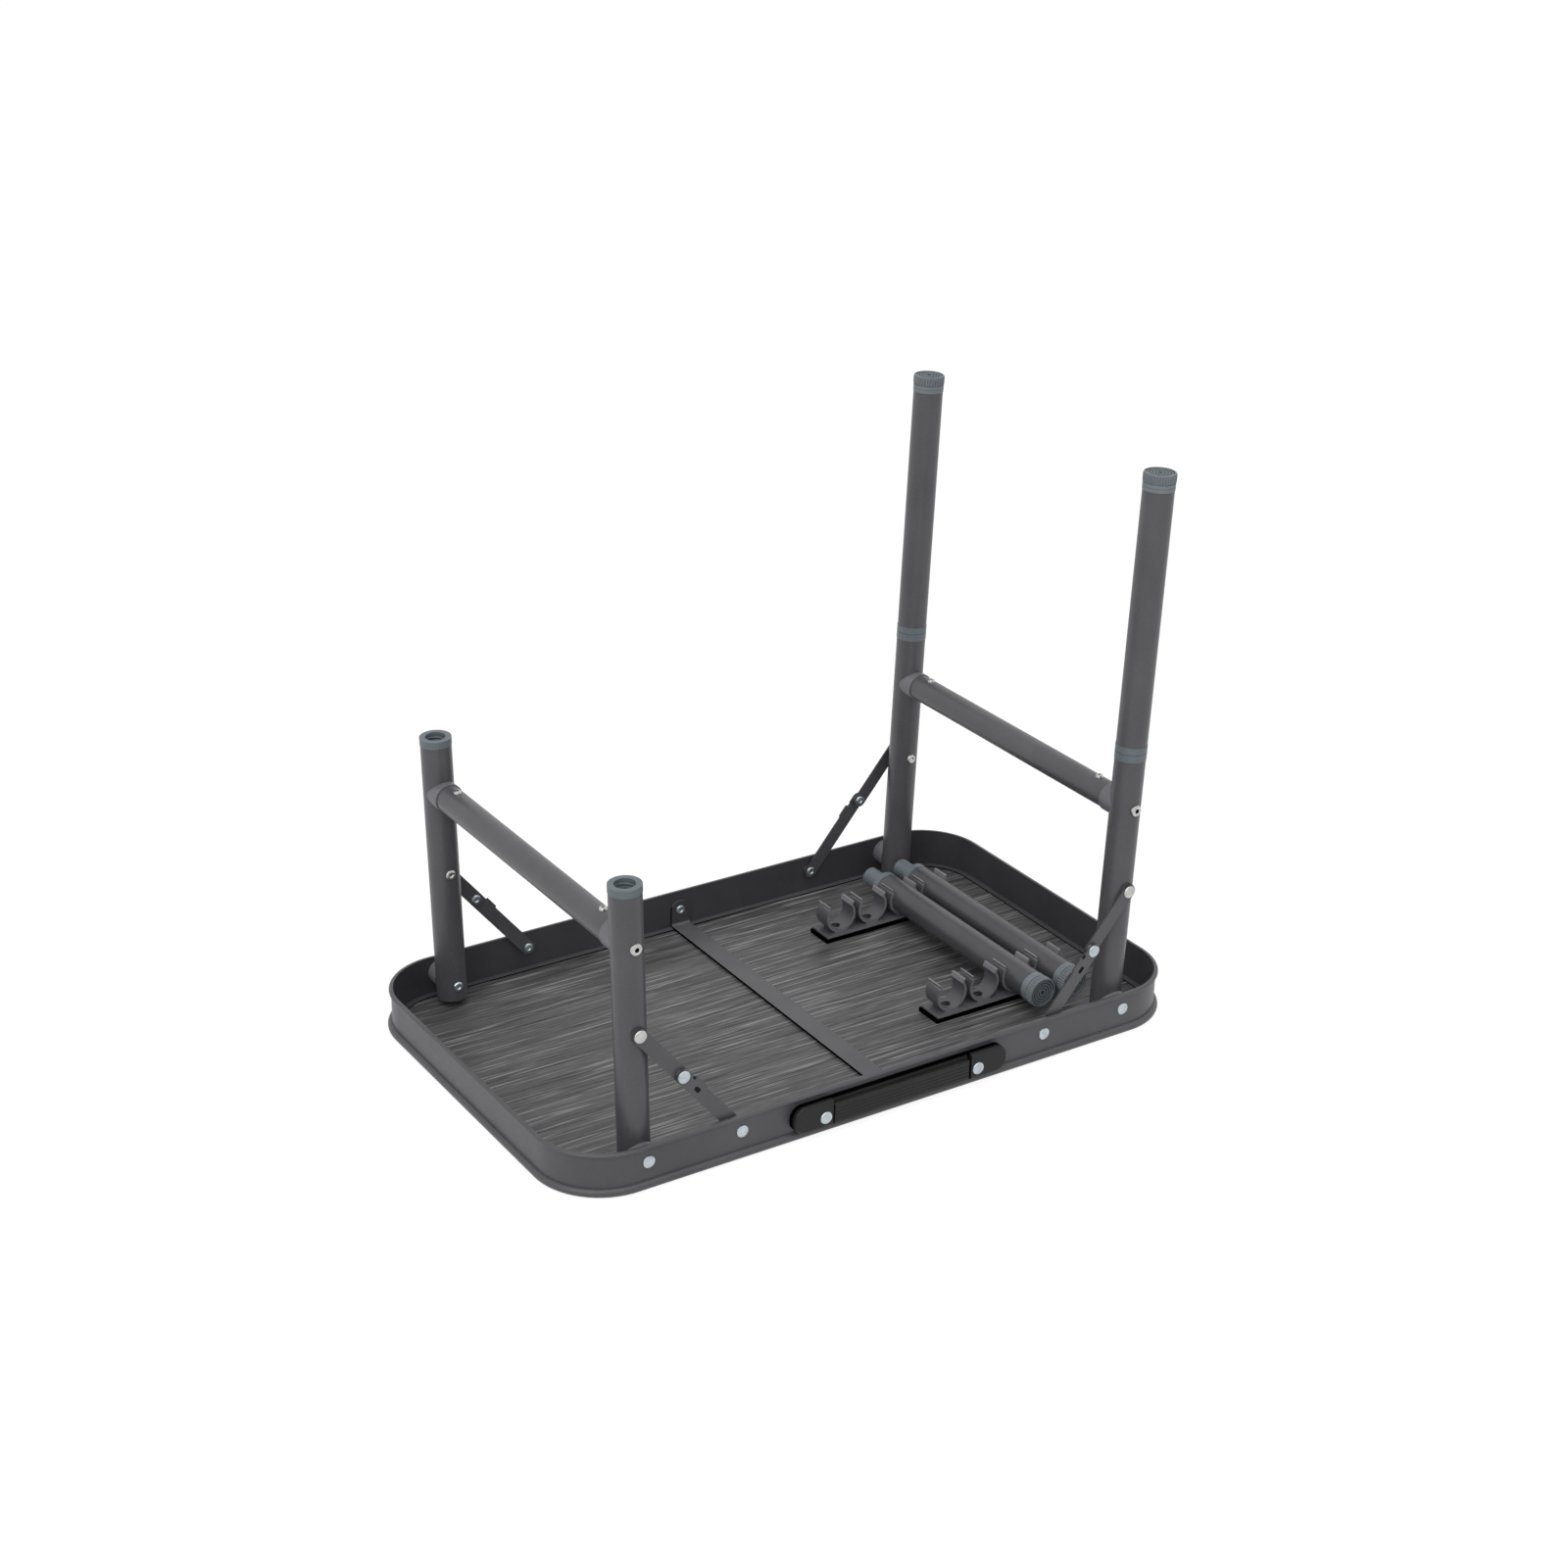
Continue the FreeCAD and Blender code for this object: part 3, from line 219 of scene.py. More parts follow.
@dataclass(frozen=True)
class PrintedGrain(Finish):
    """A thin board faced with paper that is printed with brushed grey grain along its length."""

    streak: str = "#9e9e9e"
    gap: str = "#1b1b1c"
    streak_width: float = 3.2
    streak_length: float = 120.0

    def tones(self, tree: Tree, place: Socket, relief: Socket) -> Socket:
        """Colour of the print: broad bands, then pale and dark streaks of their own widths.

        Args:
            tree: the material's nodes.
            place: position on the piece, in metres.
            relief: the relief pattern, 0 to 1.

        Returns:
            The socket that carries the colour.
        """
        layers = {}
        for label, width, length, offset in (
                ("band", 5.0, 1.6, 0.0), ("pale", 0.75, 0.9, 3.1),
                ("dark", 0.9, 0.9, 7.7), ("hair", 0.5, 0.6, 12.4)):
            scale = (1 / (self.streak_length * length * MM), 1 / (self.streak_width * width * MM), 1.0)
            spread = add_node(tree, "ShaderNodeMapping", {
                "Vector": place, "Location": (offset, offset, 0.0), "Scale": scale})
            layers[label] = add_node(tree, "ShaderNodeTexNoise", {
                "Vector": spread.outputs[0], "Scale": 1.0, "Detail": 3.0, "Roughness": 0.6,
                "Distortion": 0.25}).outputs["Fac"]
        base = add_node(tree, "ShaderNodeMapRange", {
            "Value": layers["band"], "From Min": 0.35, "From Max": 0.65})
        mix = add_node(tree, "ShaderNodeMix", {
            0: base.outputs[0], MIX_LOW: linear(self.dark), MIX_HIGH: linear(self.light)}, data_type="RGBA")
        for label, low, high, tone, most in (
                ("hair", 0.5, 0.6, self.gap, 0.4), ("pale", 0.54, 0.64, self.streak, 0.85),
                ("dark", 0.54, 0.64, self.gap, 0.9)):
            share = add_node(tree, "ShaderNodeMapRange", {
                "Value": layers[label], "From Min": low, "From Max": high, "To Max": most})
            mix = add_node(tree, "ShaderNodeMix", {
                0: share.outputs[0], MIX_LOW: mix.outputs[MIX_COLOUR], MIX_HIGH: linear(tone)},
                data_type="RGBA")
        return mix.outputs[MIX_COLOUR]


MOULDED = {"relief_size": 1.8, "relief_height": 0.03}
PLATED = {"metallic": 1.0, "relief_size": 3.0, "relief_height": 0.02, "cloud_size": 6.0,
          "roughness_spread": 0.08}
# Printed paper on a thin board, satin.
GRAIN_BOARD = PrintedGrain("printed_grain_board", "#49494a", "#5e5e5f", 0.5, relief_size=6.0,
                           relief_height=0.02)
# Powder-coated aluminium: baked polyester with a fine grit that gives a soft, even sheen.
# The real grit is about 0.3 mm and is drawn near 2.5 mm, so that it shows at this size.
RIM_COAT = Finish("powder_coated_aluminium_rim", "#4a4a4e", "#545458", 0.42)
# Painted shade: the rim's inside, and the strip's bent-up ends, take a darker copy of the rim's coat.
RIM_PAINTED_SHADE = Finish("powder_coated_aluminium_rim_inside", "#3a3a3d", "#444447", 0.5)
TUBE_COAT = Finish("powder_coated_aluminium_tube", "#4f4e52", "#59585c", 0.38)
# Painted shade: the spare tubes, low in the tray, take a darker copy of the tube coat.
SPARE_COAT_PAINTED_SHADE = Finish("powder_coated_aluminium_tube_worn", "#454448", "#4f4e52", 0.36)
STRIP_COAT = Finish("powder_coated_flat_bar", "#505053", "#5b5b5d", 0.45)
STAY_PAINT = Finish("enamelled_steel_strip", "#4e4e51", "#59595c", 0.4)
# Painted shade: the thin edges of the stays take a darker copy of their paint.
STAY_EDGE_PAINTED_SHADE = Finish("enamelled_steel_strip_edge", "#29292b", "#343437", 0.45)
# Moulded nylon: matt, with a slight grain.
CLIP_PLASTIC = Finish("moulded_nylon_grey", "#4e4e51", "#5d5d60", 0.46, relief_size=1.8, relief_height=0.04)
# Painted highlight: the clips' edges and lips take a paler copy of their nylon.
CLIP_EDGE_PAINTED_HIGHLIGHT = Finish("moulded_nylon_grey_edge", "#78787c", "#87878b", 0.42, relief_size=1.8,
                   relief_height=0.04)
# Closed-cell foam: black and dull. The same colour is painted shade in narrow gaps.
FOAM_AND_PAINTED_SHADE = Finish("closed_cell_foam", "#020202", "#080808", 0.95, specular=0.0, relief_size=1.6,
                  relief_height=0.2)
# Polypropylene end covers: black, lightly grained.
HANDLE_PLASTIC = Finish("moulded_polypropylene_black", "#111112", "#1b1b1c", 0.45, specular=0.3,
                        relief_size=1.8, relief_height=0.05)
# Thermoplastic rubber: a little greyer and duller than the covers beside it.
STRAP_RUBBER = Finish("thermoplastic_rubber", "#171718", "#222223", 0.5, specular=0.3, relief_size=1.4,
                      relief_height=0.06)
# Zinc-plated steel: cold and slightly clouded, with a soft gleam.
ZINC = Finish("zinc_plated_steel", "#aab4ba", "#c4cdd2", 0.34, **PLATED)
# Stainless steel of the screws and rivets through the legs: less blue than zinc.
STAINLESS = Finish("stainless_steel", "#b0b0ae", "#cacac7", 0.3, **PLATED)
# Near-black steel of the clip screws. The same colour is painted shade in the screw sockets, in the rings
# round the clip screws and in the stay pits.
DARK_STEEL_AND_PAINTED_SHADE = Finish("black_oxide_steel", "#0b0b0c", "#151517", 0.55, specular=0.2, relief_size=2.0,
                    relief_height=0.02, cloud_size=5.0)
# Blue-grey nylon of the screwed ends.
COLLAR_PLASTIC = Finish("moulded_nylon_blue_grey", "#636c72", "#717a80", 0.46, **MOULDED)
# The feet are a little paler.
FOOT_PLASTIC = Finish("moulded_polyethylene_blue_grey", "#727a80", "#81898f", 0.5, **MOULDED)
# Softer rubber of the tread. Its grooves and the wall round it take a darker copy as painted shade.
TREAD_RUBBER = Finish("moulded_foot_rubber", "#737a7f", "#82898e", 0.6, relief_size=1.5, relief_height=0.05)
GAP_PAINTED_SHADE = Finish("moulded_foot_rubber_gaps", "#2e3539", "#3b4247", 0.65, relief_size=1.5,
                    relief_height=0.05)
# Dark nylon of washers and gaskets, and mid-grey nylon of saddles, bushes and plugs.
WASHER_NYLON = Finish("moulded_nylon_dark", "#343436", "#3f3f42", 0.5, **MOULDED)
FITTING_PLASTIC = Finish("moulded_nylon_mid_grey", "#6b6a70", "#79787e", 0.46, **MOULDED)


def dress(finish: Finish, *nodes: str) -> None:
    """Gives CAD nodes a finish in place of their plain one.

    Args:
        finish: the finish that they get.
        *nodes: names of the CAD nodes.
    """
    for name in nodes:
        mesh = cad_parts[name].data
        mesh.materials.clear()
        mesh.materials.append(finish.material())
        LOG.info("dressed %s in %s", name, finish.name)


def second_finish(mesh: bpy.types.Mesh, finish: Finish, chosen: Callable[[MeshFace], bool]) -> None:
    """Gives some faces of a dressed mesh another finish than the rest.

    Args:
        mesh: the mesh.
        finish: the finish of those faces.
        chosen: says whether a face is one of them.
    """
    mesh.materials.append(finish.material())
    for polygon in mesh.polygons:
        if chosen(polygon):
            polygon.material_index = len(mesh.materials) - 1


def make_piece(name: str, points: list[Vector], faces: Faces, finish: Finish, body: str,
               slot: str, smooth_below: float = 35.0) -> bpy.types.Object:
    """Makes one mesh piece that rides on a body.

    Args:
        name: the piece's name.
        points: its points, in the shared frame.
        faces: its faces, as point numbers.
        finish: its surface.
        body: the CAD body that it moves with.
        slot: the record's material slot of that surface; not used.
        smooth_below: edges under this angle, in degrees, are shaded smooth.

    Returns:
        The new object.
    """
    mesh = bpy.data.meshes.new(name)
    mesh.from_pydata([tuple(p) for p in points], [], faces)
    mesh.validate()
    mesh.polygons.foreach_set("use_smooth", [True] * len(mesh.polygons))
    mesh.set_sharp_from_angle(angle=math.radians(smooth_below))
    mesh.materials.append(finish.material())
    piece = bpy.data.objects.new(name, mesh)
    bpy.context.scene.collection.objects.link(piece)
    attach(piece, body)
    LOG.info("built %s on %s", name, body)
    return piece


def stitch(rings: list[list[int]]) -> Faces:
    """Faces between each ring of points and the next.

    Args:
        rings: the point numbers of each ring; a ring of one point closes an end.

    Returns:
        The faces.
    """
    faces: Faces = []
    for low, high in zip(rings, rings[1:]):
        count = max(len(low), len(high))
        for step in range(count):
            after = (step + 1) % count
            corners = [low[step % len(low)], low[after % len(low)],
                       high[after % len(high)], high[step % len(high)]]
            face = tuple(dict.fromkeys(corners))
            if len(face) > 2:
                faces.append(face)
    return faces


def turn_profile(profile: Profile, place: Matrix, segments: int = ROUND_STEPS,
                 shapes: dict[int, RingShape] | None = None) -> Surface:
    """Turns a profile about its own Z axis; a ring may have a shape other than round.

    Args:
        profile: radius and height pairs, in millimetres; a radius of 0 closes the end.
        place: where the turned piece goes.
        segments: points round each ring.
        shapes: for a ring's number, what its radius is multiplied by at an angle.

    Returns:
        The points and faces.
    """
    points: list[Vector] = []
    rings: list[list[int]] = []
    for number, (radius, height) in enumerate(profile):
        if radius == 0:
            rings.append([len(points)])
            points.append(place @ Vector((0.0, 0.0, height * MM)))
            continue
        shape = (shapes or {}).get(number)
        ring = []
        for step in range(segments):
            turn = 2 * math.pi * step / segments
            reach = radius * shape(turn) if shape else radius
            ring.append(len(points))
            points.append(place @ (Vector((reach * math.cos(turn), reach * math.sin(turn), height)) * MM))
        rings.append(ring)
    return points, stitch(rings)


def join(surfaces: list[Surface]) -> Surface:
    """Puts several surfaces into one list of points and faces.

    Args:
        surfaces: the surfaces.

    Returns:
        All their points, and faces that count from the first point.
    """
    points: list[Vector] = []
    faces: Faces = []
    for some_points, some_faces in surfaces:
        start = len(points)
        points += some_points
        faces += [tuple(start + corner for corner in face) for face in some_faces]
    return points, faces


def ribbed(count: int, depth: float) -> RingShape:
    """Shape of a ring with square-shouldered ribs round it.

    Args:
        count: how many ribs.
        depth: how deep the gaps are, as a share of the radius.

    Returns:
        The ring's shape.
    """
    steepness = 1.6
    return lambda turn: 1 - depth * min(1.0, max(0.0, 0.5 + steepness * math.cos(count * turn)))


def six_sided(turn: float) -> float:
    """Shape of a hexagonal ring.

    Args:
        turn: the angle round the ring.

    Returns:
        The radius there, as a share of the radius to the flats.
    """
    return 1 / math.cos((turn + math.pi / 6) % (math.pi / 3) - math.pi / 6)


def plate(outline: Profile, low: float, high: float, place: Matrix) -> Surface:
    """A flat plate with the given outline.

    Args:
        outline: its corners in turn, in millimetres.
        low: where it begins along its own Z, in millimetres.
        high: where it ends, in millimetres.
        place: where the plate goes.

    Returns:
        The points and faces.
    """
    count = len(outline)
    sides = zip(outline, outline[1:] + outline[:1])
    area = sum(x * y_next - x_next * y for (x, y), (x_next, y_next) in sides)
    corners = outline if area * place.determinant() > 0 else outline[::-1]
    points = [place @ Vector((x * MM, y * MM, z * MM)) for z in (low, high) for x, y in corners]
    faces = [tuple(reversed(range(count))), tuple(range(count, 2 * count))]
    faces += [(i, (i + 1) % count, count + (i + 1) % count, count + i) for i in range(count)]
    return points, faces


def through_rim(row: Row, across: float, height: float) -> Matrix:
    """Place of a fastener that runs outward through one long side.

    Args:
        row: which side of the table.
        across: its X, in millimetres.
        height: its Z, in millimetres.

    Returns:
        The matrix whose own Z is the distance from the table's middle plane.
    """
    turn = Matrix.Rotation(-row.value * math.pi / 2, 4, "X")
    return Matrix.Translation((across * MM, 0.0, height * MM)) @ turn


def leg_point(end: End, reach: float) -> Pair:
    """Place of a point on a leg's axis, seen from the side.

    Args:
        end: which end of the table.
        reach: how far up the leg from its pivot, in millimetres.

    Returns:
        Its X and Z, in millimetres.
    """
    return end.value * (PIVOT_X + reach * math.sin(LEG_LEAN)), PIVOT_Z + reach * math.cos(LEG_LEAN)


def leg_place(end: End, row: Row, along: float) -> Matrix:
    """Place and lean of a leg's own axis.

    Args:
        end: which end of the table.
        row: which side of the table.
        along: how far up the leg from its pivot, in metres.

    Returns:
        The matrix that stands a turned piece on the leg there.
    """
    lean = Matrix.Rotation(end.value * LEG_LEAN, 4, "Y")
    pivot = Matrix.Translation((end.value * PIVOT_X * MM, row.value * LEG_ROW * MM, PIVOT_Z * MM))
    return pivot @ lean @ Matrix.Translation((0.0, 0.0, along))


@dataclass
class ScrewThread:
    """A round-crested plastic screw thread, drawn as a cylinder whose wall rises and falls along a helix."""

    radius: float
    length: float
    pitch: float = 3.2 * MM
    depth: float = 0.55 * MM
    kind: Thread = Thread.MALE
    segments: int = 48
    steps_per_turn: int = 8
    backing: float = 0.6 * MM
    smooth_below: float = 60.0

    def build(self, name: str, place: Matrix, body: str) -> None:
        """Builds the threaded wall.

        Args:
            name: the piece's name.
            place: where its start stands; it runs along that Z.
            body: the CAD body that it rides on.
        """
        rows = int(self.length / self.pitch * self.steps_per_turn)
        turns = [2 * math.pi * step / self.segments for step in range(self.segments)]
        points = []
        for row in range(rows + 1):
            height = self.length * row / rows
            fade = min(1.0, row / self.steps_per_turn, (rows - row) / self.steps_per_turn)
            for turn in turns:
                wave = 0.5 + 0.5 * math.cos(2 * math.pi * (height / self.pitch) - turn)
                radius = self.radius - self.depth * fade * wave
                points.append(place @ Vector((radius * math.cos(turn), radius * math.sin(turn), height)))
        wall = self.radius - self.kind.value * (self.depth + self.backing)
        for height in (self.length, 0.0):
            points += [place @ Vector((wall * math.cos(turn), wall * math.sin(turn), height))
                       for turn in turns]
        starts = [*range(0, len(points), self.segments), 0]
        faces = stitch([list(range(start, start + self.segments)) for start in starts])
        if self.kind is Thread.FEMALE:
            faces = [face[::-1] for face in faces]
        make_piece(name, points, faces, COLLAR_PLASTIC, body, "collar_plastic", self.smooth_below)


@dataclass
class Foot:
    """Foot of a leg extension: plain collar in two bands, ribbed band, and a sunk tread with rings.

    Sizes are in millimetres. The waist is the narrow gap between the collar and the ribs.
    """

    collar_radius: float = 14.3
    pad_radius: float = 14.6
    groove_at: float = 3.6
    collar: float = 7.0
    length: float = 15.45
    tread_radius: float = 12.5
    tread_sink: float = 1.3
    ribs: int = 36
    rib_depth: float = 0.07
    ring_pitch: float = 2.6
    land: float = 1.6
    ring_height: float = 0.6
    bevel: float = 0.3
    edge: float = 0.2
    groove_depth: float = 0.4
    waist_depth: float = 0.9
    waist_low: float = 0.3
    waist_high: float = 0.4
    rib_end: float = 1.8
    shoulder: float = 1.0
    crown: Pair = (0.5, 1.1)
    rib_shares: tuple[float, ...] = (0.8, 1.0, 1.0, 0.6)
    steps_per_rib: int = 8
    gap_share: float = 0.6
    gap_low: float = 0.6
    gap_high: float = 1.2
    near: float = 0.1

    def side(self) -> Profile:
        """Section of the collar up to the ribs, in millimetres."""
        wide, notch, top = self.collar_radius, self.groove_at, self.collar
        waist, low = wide - self.waist_depth, top - self.waist_low
        return [(0.0, 0.0), (wide - self.bevel, 0.0), (wide, self.bevel), (wide, notch - self.edge),
                (wide - self.groove_depth, notch), (wide, notch + self.edge), (wide, low - self.edge),
                (wide - self.edge, low), (waist, low), (waist, top + self.waist_high)]

    def band(self) -> Profile:
        """Section of the ribbed band, in millimetres."""
        wide, low, top = self.pad_radius, self.collar + self.waist_high, self.length
        return [(wide - self.bevel, low), (wide, low + self.bevel), (wide, top - self.rib_end),
                (wide - self.edge, top - self.shoulder)]

    def tread(self) -> Profile:
        """Section of the end, from its rounded edge to the middle, in millimetres."""
        wide, top, floor = self.pad_radius, self.length, self.length - self.tread_sink
        section = [(wide - self.crown[0], top - self.bevel), (wide - self.crown[1], top),
                   (self.tread_radius, top), (self.tread_radius, floor)]
        ridge = floor + self.ring_height
        radius = self.tread_radius - self.ring_pitch + self.land
        while radius > self.land:
            inner = radius - self.land
            section += [(radius, floor), (radius, ridge), (inner, ridge), (inner, floor)]
            radius -= self.ring_pitch
        return [*section, (0.0, floor)]

    def build(self, name: str, place: Matrix, body: str, node: str) -> None:
        """Builds the foot with its tread.

        Args:
            name: start of the piece's name.
            place: where the foot's collar begins; it runs along that Z to the tread.
            body: the CAD body that it rides on.
            node: the CAD node that it stands for.
        """
        side, band, tread = self.side(), self.band(), self.tread()
        shapes = {len(side) + i: ribbed(self.ribs, self.rib_depth * share)
                  for i, share in enumerate(self.rib_shares)}
        points, faces = turn_profile(side + band + tread, place, self.ribs * self.steps_per_rib, shapes)
        foot = make_piece(f"{name}_foot_shell", points, faces, FOOT_PLASTIC, body, "foot_plastic")
        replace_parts(foot, node)
        ridge = self.length - self.tread_sink + self.ring_height
        back = place.inverted()

        def spot(face: MeshFace) -> Pair:
            """Radius and height of a face's middle on the foot, in millimetres."""
            local = back @ face.center / MM
            return math.hypot(local.x, local.y), local.z

        def on_tread(face: MeshFace) -> bool:
            """Whether a face is on the tread or between two ribs."""
            radius, height = spot(face)
            low_rib = self.pad_radius * (1 - self.gap_share * self.rib_depth)
            beside_ribs = self.collar + self.gap_low < height < self.length - self.gap_high
            on_end = radius < self.tread_radius - self.near and height > self.collar
            return on_end or (radius < low_rib and beside_ribs)

        def in_gap(face: MeshFace) -> bool:
            """Whether a face is in a groove of the tread."""
            radius, height = spot(face)
            below_edge = self.collar < height < self.length - self.near
            within = radius < self.tread_radius + self.near and below_edge
            return within and abs(height - ridge) > self.near

        second_finish(foot.data, TREAD_RUBBER, on_tread)
        # Painted shade in the tread's grooves and on its sunk wall.
        second_finish(foot.data, GAP_PAINTED_SHADE, in_gap)


@dataclass(frozen=True)
class Rivet:
    """A steel rivet across one side of the table: flat domed head outside, rolled tail inside.

    Its places are distances from the table's middle plane, in millimetres. A head or tail without height
    is left off. The shapes are shares of radius and height, from the tail's dimple to the head's top.
    """

    tail_end: float
    tail_seat: float
    head_seat: float
    head_top: float
    head_radius: float = 5.8
    tail_radius: float = 4.7
    shank: float = 2.5
    tail_shape: Section = (
        (0.0, 0.75), (0.32, 0.7), (0.42, 0.2), (0.56, 0.0), (0.76, 0.1), (0.93, 0.45), (1.0, 1.0))
    head_shape: Section = (
        (1.0, 0.0), (1.0, 0.35), (0.95, 0.68), (0.82, 0.88), (0.5, 0.98), (0.0, 1.0))

    def profile(self) -> Profile:
        """Its section, in millimetres, from the tail to the top of the head."""
        tail, head = self.tail_seat - self.tail_end, self.head_top - self.head_seat
        section = [(0.0, self.tail_end)]
        if tail > 0:
            section = [(self.tail_radius * share, self.tail_end + tail * rise)
                       for share, rise in self.tail_shape]
        section += [(self.shank, self.tail_seat), (self.shank, self.head_seat)]
        if head > 0:
            section += [(self.head_radius * share, self.head_seat + head * rise)
                        for share, rise in self.head_shape]
        else:
            section.append((0.0, self.head_seat))
        return section

    def surface(self, row: Row, across: float, height: float) -> Surface:
        """The rivet's surface at one place on a long side.

        Args:
            row: which side.
            across: its X, in millimetres.
            height: its Z, in millimetres.

        Returns:
            The points and faces.
        """
        return turn_profile(self.profile(), through_rim(row, across, height))


PIVOT_RIVET = Rivet(tail_end=151.7, tail_seat=153.2, head_seat=RIM_OUTER, head_top=RIM_HEAD, shank=3.5)
STAY_LEG_RIVET = Rivet(tail_end=152.3, tail_seat=LEG_INNER, head_seat=185.0, head_top=186.2)
STAY_RIM_RIVET = Rivet(tail_end=185.3, tail_seat=186.5, head_seat=RIM_OUTER, head_top=RIM_HEAD)
STRIP_RIVET = Rivet(tail_end=187.0, tail_seat=188.2, head_seat=RIM_OUTER, head_top=RIM_HEAD)
HANDLE_RIVET = Rivet(tail_end=RIM_INNER, tail_seat=RIM_INNER, head_seat=201.0, head_top=202.2)
# The rivet in the middle of a stay, as one half on each link.
LOWER_HALF = Rivet(tail_end=185.8, tail_seat=185.8, head_seat=188.2, head_top=189.6)
UPPER_HALF = Rivet(tail_end=182.1, tail_seat=183.3, head_seat=184.9, head_top=184.9)


@dataclass(frozen=True)
class SocketScrew:
    """A screw with a hexagon socket; sections are radius and height above its seat, in millimetres."""

    head: Section
    socket: Section
    segments: int

    def surfaces(self, place: Matrix, seat: float) -> tuple[Surface, Surface]:
        """The bright screw, and the dark socket that closes its head.

        Args:
            place: the screw's axis.
            seat: how far along it the head sits, in millimetres.

        Returns:
            The two surfaces.
        """
        head = [(radius, seat + height) for radius, height in self.head]
        socket = [(radius, seat + height) for radius, height in self.socket]
        flats = {1: six_sided, 2: six_sided}
        return turn_profile(head, place, self.segments), turn_profile(socket, place, self.segments, flats)


CROSS_SCREW = SocketScrew(
    head=((0.0, -11.5), (2.5, -11.5), (2.5, 0.0), (5.2, 0.0),
          (5.2, 1.5), (4.9, 2.1), (4.0, 2.5), (2.1, 2.6)),
    socket=((2.1, 2.6), (1.7, 2.4), (1.5, 0.9), (0.0, 0.7)), segments=48)
TOP_SCREW = SocketScrew(
    head=((0.0, -1.4), (1.6, -1.4), (1.6, 0.0), (3.5, 0.0),
          (3.5, 1.3), (3.1, 2.1), (2.2, 2.5), (1.3, 2.6)),
    socket=((1.3, 2.6), (1.1, 2.5), (1.1, 1.6), (0.0, 1.5)), segments=32)


def washer(inner: float, outer: float, low: float, high: float, place: Matrix) -> Surface:
    """A plain ring between two planes.

    Args:
        inner: hole radius, in millimetres.
        outer: outside radius, in millimetres.
        low: where it begins along its axis, in millimetres.
        high: where it ends, in millimetres.
        place: its axis.

    Returns:
        The points and faces.
    """
    bevel = 0.2
    ring = [(inner, low), (outer - bevel, low), (outer, low + bevel), (outer, high - bevel),
            (outer - bevel, high), (inner, high), (inner, low)]
    return turn_profile(ring, place)


@dataclass
class LegExtension:
    """A screw-on leg extension: threaded stub insert, tube and foot."""

    name: str
    body: str
    base: Matrix
    length: float = 256.2 * MM
    foot_room: float = 15.5 * MM
    foot: Foot = field(default_factory=Foot)

    def build(self) -> None:
        """Builds the finer foot on the extension's own axis."""
        start = self.base @ Matrix.Translation((0.0, 0.0, self.length - self.foot_room))
        self.foot.build(self.name, start, self.body, f"{self.name}_foot")

    def dress(self) -> None:
        """Coats the tube, and moulds the stub in plastic."""
        dress(TUBE_COAT, f"{self.name}_tube")
        dress(COLLAR_PLASTIC, f"{self.name}_stub")


@dataclass
class FittedExtension(LegExtension):
    """An extension that is screwed into a leg, with a thin dark gasket between the two collars."""

    gasket_radii: Pair = (13.0, 14.36)
    gasket_span: Pair = (-0.08, 0.75)

    def build(self) -> None:
        """Builds the foot and the gasket."""
        super().build()
        points, faces = washer(*self.gasket_radii, *self.gasket_span, self.base)
        make_piece(f"{self.name}_gasket", points, faces, WASHER_NYLON, self.body, "collar_plastic")


@dataclass
class StoredExtension(LegExtension):
    """A spare extension that lies in the clips with its thread in sight."""

    stub: float = 25.5 * MM
    stub_radius: float = 8.92 * MM
    crest: float = 0.32 * MM
    thread_depth: float = 0.36 * MM
    thread_start: float = 1.7 * MM
    bare_ends: float = 4.0 * MM

    def build(self) -> None:
        """Builds the foot, and the thread that shows while nothing is screwed on."""
        super().build()
        start = self.base @ Matrix.Translation((0.0, 0.0, -self.stub + self.thread_start))
        thread = ScrewThread(self.stub_radius + self.crest, self.stub - self.bare_ends,
                             depth=self.thread_depth)
        thread.build(f"{self.name}_thread", start, self.body)

    def dress(self) -> None:
        """Gives the tube a darker copy of the coat as painted shade, and moulds the stub in plastic."""
        super().dress()
        dress(SPARE_COAT_PAINTED_SHADE, f"{self.name}_tube")


